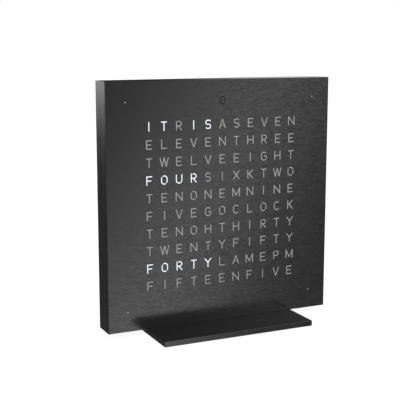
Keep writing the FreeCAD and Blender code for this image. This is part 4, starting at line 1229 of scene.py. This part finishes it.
class WORDCLOCK_OT_components(bpy.types.Operator):
    """Resistors and capacitors on the back of the board"""
    bl_idname = "wordclock.components"
    bl_label = "Small components"

    def execute(self, context):
        finish = context.scene.word_clock_finish
        sizes = context.scene.word_clock_small_parts
        upright, level = self.resistor_places()
        resistor = self.chip_part("chip_resistors", sizes, epoxy(finish))
        resistor = spread(resistor, upright, [(0.0, math.pi / 2, 0.0)] * len(upright))
        fit(resistor, "clock", "chip_black")
        brown = once(plastic, "ceramic", CERAMIC, 0.4)
        capacitor = self.chip_part("chip_capacitors", sizes, brown)
        capacitor = spread(capacitor, level)
        fit(capacitor, "clock", "chip_black")
        self.reservoirs()
        return {"FINISHED"}

    def chip_part(self, name, sizes, body_material):
        """Small block with two tinned ends, along X."""
        half = sizes.resistor_long / 2
        wide = sizes.resistor_wide / 2
        cap = half * 0.62
        body = block(name, (-cap, cap), (0.02 * MM, sizes.resistor_high), (-wide, wide),
                     body_material, 0.03 * MM)
        ends = []
        for side in SIDES:
            x = sorted((side * cap * 0.96, side * half))
            ends.append(block("end", x, (0.0, sizes.resistor_high + 0.03 * MM),
                              (-wide - 0.02 * MM, wide + 0.02 * MM), bare("tin"),
                              0.06 * MM, 2))
        return joined(name, [body, *ends])

    def resistor_places(self):
        """Places of the upright resistors and of the level capacitors."""
        upright = []
        level = []
        for box in corner_boxes("led_drivers"):
            chip = middle(box)
            side = 1 if chip.x > 0 else -1
            for step in range(PULL_UPS):
                off = (step - (PULL_UPS - 1) / 2) * PULL_UP_PITCH
                upright.append(Vector((chip.x + off, BOARD_BACK, chip.z + ABOVE_DRIVER)))
            level.append(Vector((chip.x + side * BESIDE_DRIVER, BOARD_BACK, chip.z)))
        row = CENTRE_LEVEL - 4.0 * MM
        for side in SIDES:
            for step in range(LIMITERS):
                off = (step - (LIMITERS - 1) / 2) * LIMITER_PITCH
                upright.append(Vector((side * 33.5 * MM + off, BOARD_BACK, row)))
        chip = middle(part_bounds("controller_chip"))
        for side in SIDES:
            for end in SIDES:
                level.append(Vector((chip.x + side * 3.0 * MM, BOARD_BACK, chip.z + end * 8.2 * MM)))
            level.append(Vector((chip.x - 9.2 * MM, BOARD_BACK, chip.z + side * 3.6 * MM)))
        for sign in KEYS:
            key = middle(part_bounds("button_" + sign))
            level.append(Vector((key.x, BOARD_BACK, key.z - BELOW_KEY)))
        return upright, level

    def reservoirs(self):
        """Two larger capacitors beside the power socket."""
        orange = once(plastic, "tantalum", (0.62, 0.33, 0.05), 0.42)
        half_x = 1.75 * MM
        half_z = 1.4 * MM
        top = 1.9 * MM
        body = block("reservoirs", (-half_x, half_x), (0.15 * MM, top), (-half_z, half_z), orange,
                     0.12 * MM)
        with shaping(body):
            bpy.ops.mesh.bisect(plane_co=(0.0, top / 2, 0.0), plane_no=(0.0, 1.0, 0.0))
            select_faces(facing_back)
            bpy.ops.transform.resize(value=(0.94, 1.0, 0.94))
        ends = []
        for side in SIDES:
            ends.append(strip("reservoir_end", Vector((side * 1.0 * MM, 0.07 * MM, 0.0)),
                              Vector((side * 0.8 * MM, 0.0, 0.0)), [Vector((0.0, 0.9 * MM, 0.0))],
                              2.2 * MM, 0.12 * MM, bare("tin"), LEAD_BEND))
        part = joined("reservoirs", [body, *ends])
        socket = middle(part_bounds("socket_shell"))
        places = [Vector((socket.x + side * 9.5 * MM, BOARD_BACK, socket.z + 5.0 * MM)) for side in SIDES]
        part = spread(part, places)
        fit(part, "clock", "chip_black")


class WORDCLOCK_OT_timekeeping(bpy.types.Operator):
    """Crystal, coin cell with its strap and contact"""
    bl_idname = "wordclock.timekeeping"
    bl_label = "Crystal and coin cell"

    def execute(self, context):
        self.crystal()
        self.cell()
        self.strap()
        self.contact()
        return {"FINISHED"}

    def crystal(self):
        """Small can that lies on the board, with two wires bent down to it."""
        low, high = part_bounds("clock_crystal")
        radius = (high.x - low.x) / 2
        long = high.z - low.z
        pick()
        bpy.ops.mesh.primitive_cylinder_add(vertices=32, radius=radius, depth=long)
        can = named("crystal", bare("nickel_plate"))
        with shaping(can):
            select_edges(both_ends(lambda point: point.z > long / 2 - TOUCHING))
            bevel(0.3 * MM, 3)
            select_faces(facing_down)
            bpy.ops.mesh.inset(thickness=0.2 * MM)
            bpy.ops.mesh.inset(thickness=0.02 * MM, depth=-0.25 * MM)
            paint_selected(can, dark_glass())
        can.location = middle((low, high))
        pick(can)
        apply_place()
        wires = []
        for side in SIDES:
            x = middle((low, high)).x + side * 0.45 * MM
            wire = 0.22 * MM
            rise = middle((low, high)).y - BOARD_BACK - wire / 2
            wires.append(strip("wire", Vector((x, BOARD_BACK + wire / 2, low.z - 1.4 * MM)),
                               Vector((0.0, 0.0, 0.7 * MM)),
                               [Vector((0.0, rise, 0.25 * MM)), Vector((0.0, 0.0, 0.8 * MM))],
                               wire, wire, bare("tin"), 0.12 * MM))
        piece = joined("crystal", [can, *wires])
        fit(piece, "clock", "clip_steel", "clock_crystal")

    def cell(self):
        """Coin cell: a can crimped round a smaller lid, with a seal between them."""
        low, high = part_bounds("coin_cell")
        centre = middle((low, high))
        radius = (high.x - low.x) / 2
        steel = bare("cell_case")
        can_front = low.y + 0.3 * MM
        can = rod("backup_cell", radius, (can_front, high.y), steel, centre.x, centre.z, 96)
        with shaping(can):
            select_edges(at_depth(high.y))
            bevel(0.45 * MM, 4)
            select_edges(at_depth(can_front))
            bevel(0.3 * MM, 3)
            select_faces(facing_front)
            bpy.ops.mesh.inset(thickness=0.7 * MM)
            extrude(Vector((0.0, 0.15 * MM, 0.0)))
            paint_selected(can, once(plastic, "seal", (0.03, 0.03, 0.03), 0.5))
            bpy.ops.mesh.inset(thickness=0.25 * MM)
            extrude(Vector((0.0, -0.45 * MM, 0.0)))
            paint_selected(can, steel)
            bevel(0.1 * MM, 2)
            select_faces(facing_back)
            bpy.ops.mesh.inset(thickness=1.1 * MM)
            bpy.ops.mesh.inset(thickness=0.12 * MM, depth=-0.05 * MM)
        fit(can, "clock", "cell_steel", "coin_cell")

    def strap(self):
        """Sprung strap over the cell, with rounded bends."""
        low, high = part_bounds("coin_cell_clip")
        thick = 0.3 * MM
        foot = 2.5 * MM - thick
        width = high.z - low.z
        centre = middle((low, high))
        leg = (high.x - low.x) / 2 - foot
        rise = high.y - low.y - thick
        start = Vector((low.x, low.y + thick / 2, centre.z))
        steps = [Vector((0.0, rise, 0.0)), Vector((2 * leg, 0.0, 0.0)), Vector((0.0, -rise, 0.0)),
                 Vector((foot, 0.0, 0.0))]
        strap = strip("cell_strap", start, Vector((foot, 0.0, 0.0)), steps, width, thick,
                      bare("sprung_steel"), 0.35 * MM)
        fit(strap, "clock", "clip_steel", "coin_cell_clip")

    def contact(self):
        """Plated disc under the cell, with a shallow ring."""
        low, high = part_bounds("coin_cell_pad")
        centre = middle((low, high))
        gold = bare("gold")
        disc = rod("cell_contact", (high.x - low.x) / 2, (low.y, high.y), gold, centre.x, centre.z, 64)
        with shaping(disc):
            select_edges(at_depth(high.y))
            bevel(0.1 * MM, 2)
            select_faces(facing_back)
            bpy.ops.mesh.inset(thickness=1.2 * MM)
            bpy.ops.mesh.inset(thickness=0.15 * MM, depth=-0.08 * MM)
        fit(disc, "clock", "pad_gold", "coin_cell_pad")


class WORDCLOCK_OT_sound_and_sensor(bpy.types.Operator):
    """Alarm buzzer and light sensor"""
    bl_idname = "wordclock.sound_and_sensor"
    bl_label = "Buzzer and light sensor"

    def execute(self, context):
        finish = context.scene.word_clock_finish
        self.buzzer(finish)
        self.sensor()
        return {"FINISHED"}

    def buzzer(self, finish):
        """Round case with a stepped rim and a sound port."""
        low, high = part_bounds("buzzer")
        centre = middle((low, high))
        radius = (high.x - low.x) / 2
        black = once(plastic, "buzzer_plastic", finish.rear_colour, 0.35)
        case = rod("alarm_buzzer", radius, (low.y, high.y), black, centre.x, centre.z, 72)
        with shaping(case):
            select_edges(at_depth(high.y))
            bevel(0.35 * MM, 4)
            select_faces(facing_back)
            bpy.ops.mesh.inset(thickness=0.8 * MM)
            bpy.ops.mesh.inset(thickness=0.1 * MM, depth=-0.12 * MM)
            bpy.ops.mesh.inset(thickness=2.9 * MM)
            bpy.ops.mesh.inset(thickness=0.15 * MM, depth=0.12 * MM)
            bpy.ops.mesh.inset(thickness=0.25 * MM)
            extrude(Vector((0.0, -0.6 * MM, 0.0)))
        ends = []
        for side in SIDES:
            tip = Vector((centre.x + side * (radius + 0.8 * MM), low.y + 0.1 * MM, centre.z))
            ends.append(strip("buzzer_lead", tip, Vector((-side * 0.7 * MM, 0.0, 0.0)),
                              [Vector((-side * 0.3 * MM, 0.5 * MM, 0.0))],
                              1.6 * MM, 0.15 * MM, bare("tin"), LEAD_BEND))
        piece = joined("alarm_buzzer", [case, *ends])
        fit(piece, "clock", "buzzer_black", "buzzer")

    def sensor(self):
        """Small package of dark plastic, with a dark glass window."""
        low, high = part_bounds("light_sensor")
        case = block("daylight_sensor", (low.x, high.x), (low.y, high.y), (low.z, high.z),
                     once(plastic, "sensor_case", (0.06, 0.05, 0.05), 0.3), 0.06 * MM)
        with shaping(case):
            select_faces(facing_back)
            bpy.ops.mesh.inset(thickness=0.35 * MM)
            bpy.ops.mesh.inset(thickness=0.06 * MM, depth=-0.08 * MM)
            paint_selected(case, dark_glass())
        fit(case, "clock", "sensor_dark", "light_sensor")


CONTACTS = 12                   # on each side of the tongue
CONTACT_PITCH = 0.5 * MM


class WORDCLOCK_OT_socket(bpy.types.Operator):
    """Power socket: drawn steel shell, and a tongue with gold contacts"""
    bl_idname = "wordclock.socket"
    bl_label = "Power socket"

    def execute(self, context):
        finish = context.scene.word_clock_finish
        self.shell()
        self.tongue(finish)
        return {"FINISHED"}

    def oval(self, name, box, shrink, y, material):
        """Rod with the oval section of the socket, smaller all round by shrink."""
        low, high = box
        radius = (high.z - low.z) / 2 - shrink
        reach = (high.x - low.x) / 2 - (high.z - low.z) / 2
        pick()
        sides = 40
        bpy.ops.mesh.primitive_cylinder_add(vertices=sides, radius=radius, depth=y[1] - y[0],
                                            rotation=(math.pi / 2, math.pi / sides, 0.0))
        piece = named(name, material)
        with shaping(piece):
            for side in SIDES:
                bpy.ops.mesh.select_mode(type="VERT")
                bpy.ops.mesh.select_all(action="DESELECT")
                mesh = bmesh.from_edit_mesh(piece.data)
                for vertex in mesh.verts:
                    vertex.select_set(vertex.co.x * side > 0)
                mesh.select_flush_mode()
                bmesh.update_edit_mesh(piece.data)
                bpy.ops.transform.translate(value=(side * reach, 0.0, 0.0))
        centre = middle(box)
        piece.location = (centre.x, (y[0] + y[1]) / 2, centre.z)
        pick(piece)
        apply_place()
        return piece

    def shell(self):
        """Oval steel shell with a rounded lip."""
        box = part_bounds("socket_shell")
        wall = 0.3 * MM
        y = (box[0].y, box[1].y)
        steel = bare("drawn_steel")
        shell = self.oval("power_shell", box, 0.0, y, steel)
        bore = self.oval("bore", box, wall, (y[0] - MM, y[1] + MM), steel)
        carve(shell, bore)
        with shaping(shell):
            select_edges(at_depth(y[1]))
            bevel(0.08 * MM, 2)
        fit(shell, "clock", "socket_steel", "socket_shell")

    def tongue(self, finish):
        """Plastic floor and tongue, with a row of contacts on both sides."""
        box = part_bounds("socket_tongue")
        low, high = box
        centre = middle(box)
        black = once(plastic, "tongue_plastic", finish.chip_colour, 0.4)
        floor = self.oval("floor", box, 0.0, (low.y, low.y + MM), black)
        half = 3.35 * MM
        thick = 0.35 * MM
        blade = block("blade", (centre.x - half, centre.x + half), (low.y + 0.9 * MM, high.y),
                      (centre.z - thick, centre.z + thick), black, 0.1 * MM, 2)
        contacts = []
        for end in SIDES:
            for step in range(CONTACTS):
                x = centre.x + (step - (CONTACTS - 1) / 2) * CONTACT_PITCH
                z = sorted((centre.z + end * (thick - 0.03 * MM), centre.z + end * (thick + 0.02 * MM)))
                contacts.append(block("contact", (x - 0.13 * MM, x + 0.13 * MM),
                                      (low.y + 1.0 * MM, high.y - 0.5 * MM), z,
                                      bare("gold"), 0.01 * MM))
        piece = joined("power_tongue", [floor, blade, *contacts])
        fit(piece, "clock", "socket_plastic", "socket_tongue")


class WORDCLOCK_OT_keys(bpy.types.Operator):
    """Rubber keys, and the switches under them"""
    bl_idname = "wordclock.keys"
    bl_label = "Keys and switches"

    def execute(self, context):
        finish = context.scene.word_clock_finish
        rubber = plastic("soft_rubber", finish.rubber_colour, 0.62, 0.2 * MM, 0.006 * MM)
        white = once(plastic, "plunger_plastic", (0.7, 0.7, 0.68), 0.4)
        keys = []
        for sign in KEYS:
            dress("button_" + sign, rubber)
            dress("plunger_" + sign, white)
            keys.append(middle(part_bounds("button_" + sign)))
        switch = self.switch(finish)
        switch = spread(switch, [at_y(key, BOARD_BACK) for key in keys])
        fit(switch, "clock", "switch_black", "switch_bodies")
        return {"FINISHED"}

    def switch(self, finish):
        """Square switch: plastic base, riveted steel lid with a bore, four bent leads."""
        low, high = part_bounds("switch_bodies")
        half = (high.z - low.z) / 2
        high_all = high.y - low.y
        lid_thick = 0.25 * MM
        lid_half = half * 0.97
        rivet_top = high_all + 0.12 * MM
        black = once(plastic, "switch_plastic", finish.chip_colour, 0.42)
        steel = bare("sprung_steel")
        base = block("switch_base", (-half, half), (0.0, high_all - lid_thick), (-half, half),
                     black, 0.15 * MM)
        carve(base, rod("bore", 1.35 * MM, (0.45 * MM, high_all + MM), black))
        lid = block("switch_lid", (-lid_half, lid_half), (high_all - lid_thick, high_all),
                    (-lid_half, lid_half), steel, 0.06 * MM)
        carve(lid, rod("bore", 1.75 * MM, (0.0, high_all + MM), steel))
        parts = [base, lid]
        for side in SIDES:
            for end in SIDES:
                rivet = rod("rivet", 0.45 * MM, (high_all - 0.05 * MM, rivet_top), black,
                            side * half * 0.74, end * half * 0.74, 16)
                round_rim(rivet, rivet_top, 0.1 * MM, 2)
                parts.append(rivet)
                tip = Vector((side * (half + 0.9 * MM), 0.1 * MM, end * 2.2 * MM))
                parts.append(strip("switch_lead", tip, Vector((-side * 0.6 * MM, 0.0, 0.0)),
                                   [Vector((-side * 0.25 * MM, 0.7 * MM, 0.0)),
                                    Vector((-side * 0.3 * MM, 0.0, 0.0))],
                                   0.7 * MM, 0.18 * MM, bare("tin"), LEAD_BEND))
        return joined("key_switches", parts)


# ---------------------------------------------------------------- studio
DIRECT_RAYS = ("Is Camera Ray", "Is Transmission Ray")
STRIP_SIDE = (0.887, 0.0, -0.461)   # square to the edge of the slanted soft box
STRIP_EDGE = 0.479                  # how far along that direction its edge lies


class WORDCLOCK_OT_studio(bpy.types.Operator):
    """White floor and surroundings, soft light and the camera"""
    bl_idname = "wordclock.studio"
    bl_label = "Studio"

    def execute(self, context):
        studio = context.scene.word_clock_studio
        self.camera(context, studio)
        self.floor(studio)
        self.surroundings(context, studio)
        self.key_light(studio)
        context.scene.view_settings.view_transform = "Standard"
        return {"FINISHED"}

    def camera(self, context, studio):
        """Camera in front of the clock, to its left and a little above it."""
        bpy.ops.object.camera_add(location=studio.camera_place,
                                  rotation=(math.pi / 2 - studio.camera_drop, 0.0, -studio.camera_yaw))
        camera = bpy.context.object
        camera.name = "camera"
        camera.data.sensor_width = 36.0
        camera.data.lens = studio.lens
        camera.data.clip_start = 0.01
        camera.data.dof.use_dof = False
        context.scene.camera = camera

    def floor(self, studio):
        """White floor, on which the clock leaves a faint shadow."""
        pick()
        bpy.ops.mesh.primitive_plane_add(size=studio.floor_size)
        floor = bpy.context.object
        floor.name = "floor"
        material, nodes, surface = new_material("white_floor", Base_Color=rgb((0.8, 0.8, 0.8)),
                                                Roughness=0.9)
        paper = nodes.add("ShaderNodeBsdfDiffuse")
        paper.inputs["Color"].default_value = rgb((0.22, 0.22, 0.22))
        light = nodes.add("ShaderNodeEmission")
        light.inputs["Color"].default_value = WHITE
        light.inputs["Strength"].default_value = 0.92
        white = nodes.add("ShaderNodeAddShader")
        nodes.feed(white.inputs[0], paper.outputs[0])
        nodes.feed(white.inputs[1], light.outputs[0])
        above = nodes.blend(nodes.rays(*DIRECT_RAYS), surface.outputs[0], white.outputs[0])
        below = nodes.add("ShaderNodeBsdfTransparent").outputs[0]
        under = nodes.add("ShaderNodeNewGeometry").outputs["Backfacing"]
        nodes.feed(material.node_tree.nodes["Material Output"].inputs["Surface"],
                   nodes.blend(under, above, below))
        floor.data.materials.append(material)
        floor.visible_glossy = False

    def surroundings(self, context, studio):
        """White to the camera, even light on dull surfaces, and soft boxes in the gloss."""
        world = bpy.data.worlds.new("studio")
        context.scene.world = world
        world.use_nodes = True
        nodes = Nodes(world.node_tree)
        even = world.node_tree.nodes["Background"]
        boxes = nodes.add("ShaderNodeBackground")
        white = nodes.add("ShaderNodeBackground")
        for node, strength in ((even, studio.fill_level), (boxes, self.soft_boxes(nodes)), (white, 1.0)):
            node.inputs["Color"].default_value = WHITE
            nodes.feed(node.inputs["Strength"], strength)
        others = nodes.blend(nodes.rays("Is Glossy Ray"), even.outputs[0], boxes.outputs[0])
        nodes.feed(world.node_tree.nodes["World Output"].inputs["Surface"],
                   nodes.blend(nodes.rays(*DIRECT_RAYS), others, white.outputs[0]))

    def soft_boxes(self, nodes):
        """Brightness in the gloss, by direction. All limits are parts of a direction of length 1."""
        x, y, z = nodes.axes()
        ahead = nodes.ramp(y, -0.6, 0.0, 1.0, 0.0)
        behind = nodes.ramp(y, 0.0, 0.6)
        flank = nodes.product(nodes.ramp(nodes.maths("ABSOLUTE", x), 0.66, 0.92, 0.0, 0.7),
                              nodes.ramp(z, -0.45, -0.15))
        sky = nodes.total(nodes.ramp(z, 0.3, 0.75), nodes.ramp(z, -0.7, -0.4, 0.6, 0.0))
        return nodes.total(nodes.product(self.boxes_ahead(nodes, x, z), ahead),
                           nodes.product(self.boxes_behind(nodes, x, z), behind),
                           nodes.maths("MAXIMUM", sky, flank))

    def boxes_ahead(self, nodes, x, z):
        """Soft boxes that the front shows: a slanted strip, one at the right and one low down."""
        slant = nodes.maths("SUBTRACT", nodes.along(STRIP_SIDE), STRIP_EDGE)
        strip = nodes.product(nodes.ramp(slant, -0.15, 0.0), nodes.ramp(slant, 0.003, 0.019, 1.0, 0.0),
                              nodes.ramp(z, -0.5, 0.2, 2.5, 1.4))
        beside = nodes.ramp(slant, -0.5, -0.28, 0.5, 0.0)
        corner = nodes.product(nodes.ramp(z, 0.05, 0.18, 0.0, 1.6), nodes.ramp(x, 0.38, 0.52))
        low = nodes.product(nodes.ramp(z, -0.33, -0.27, 0.29, 0.0), nodes.ramp(slant, 0.0, 0.03, 0.8, 1.1))
        return nodes.total(strip, beside, corner, low)

    def boxes_behind(self, nodes, x, z):
        """Soft boxes that the base plate and the top show, and the pale ground round them."""
        left = nodes.total(nodes.ramp(z, -0.116, 0.025, 0.06, 2.6), nodes.ramp(z, -0.36, -0.28, 0.08, 0.0))
        left = nodes.product(left, nodes.ramp(x, -0.26, -0.06, 1.0, 0.0))
        right = nodes.product(nodes.ramp(z, -0.1, 0.0), nodes.ramp(x, 0.38, 0.6, 0.0, 1.45))
        beside = nodes.total(nodes.ramp(x, -0.15, 0.0), nodes.ramp(x, -0.7, -0.55, 1.0, 0.0))
        ground = nodes.maths("MAXIMUM", nodes.ramp(z, -0.5, -0.42, 0.7, 0.0),
                             nodes.product(nodes.ramp(z, -0.35, -0.18, 0.7, 0.0), beside))
        return nodes.total(left, right, ground)

    def key_light(self, studio):
        """Soft lamp above and to the left, for the dull surfaces."""
        place = Vector((-0.55, -0.75, 1.1))
        aim = (Vector((0.0, 0.0, 0.07)) - place).to_track_quat("-Z", "Y")
        bpy.ops.object.light_add(type="AREA", radius=1.0, location=place, rotation=aim.to_euler())
        lamp = bpy.context.object
        lamp.name = "key_light"
        lamp.data.energy = studio.key_power
        lamp.visible_glossy = False
        lamp.visible_camera = False


# ---------------------------------------------------------------- panel and registration
PIECES = (
    WORDCLOCK_OT_front_cover,
    WORDCLOCK_OT_letters,
    WORDCLOCK_OT_housing,
    WORDCLOCK_OT_rear_cover,
    WORDCLOCK_OT_stand,
    WORDCLOCK_OT_screws,
    WORDCLOCK_OT_lamps,
    WORDCLOCK_OT_board,
    WORDCLOCK_OT_chips,
    WORDCLOCK_OT_components,
    WORDCLOCK_OT_timekeeping,
    WORDCLOCK_OT_sound_and_sensor,
    WORDCLOCK_OT_socket,
    WORDCLOCK_OT_keys,
    WORDCLOCK_OT_studio,
)
SETTINGS = (
    ("word_clock_finish", WordClockFinish),
    ("word_clock_small_parts", WordClockSmallParts),
    ("word_clock_studio", WordClockStudio),
)


class WORDCLOCK_PT_panel(bpy.types.Panel):
    """Lists the clock's settings and the steps that build it"""
    bl_idname = "WORDCLOCK_PT_panel"
    bl_label = "Word clock"
    bl_space_type = "VIEW_3D"
    bl_region_type = "UI"
    bl_category = "Word clock"

    def draw(self, context):
        for piece in PIECES:
            self.layout.operator(piece.bl_idname)
        for attribute, group in SETTINGS:
            box = self.layout.box()
            for name in group.__annotations__:
                box.prop(getattr(context.scene, attribute), name)


def register():
    """Registers the settings, the steps and the panel."""
    for attribute, group in SETTINGS:
        bpy.utils.register_class(group)
        setattr(bpy.types.Scene, attribute, bpy.props.PointerProperty(type=group))
    for piece in PIECES:
        bpy.utils.register_class(piece)
    bpy.utils.register_class(WORDCLOCK_PT_panel)


def unregister():
    """Removes what register added."""
    bpy.utils.unregister_class(WORDCLOCK_PT_panel)
    for piece in reversed(PIECES):
        bpy.utils.unregister_class(piece)
    for attribute, group in reversed(SETTINGS):
        delattr(bpy.types.Scene, attribute)
        bpy.utils.unregister_class(group)


def main():
    """Builds the clock, piece by piece, and its studio."""
    register()
    for piece in PIECES:
        family, step = piece.bl_idname.split(".")
        getattr(getattr(bpy.ops, family), step)()


if __name__ == "__main__":
    main()
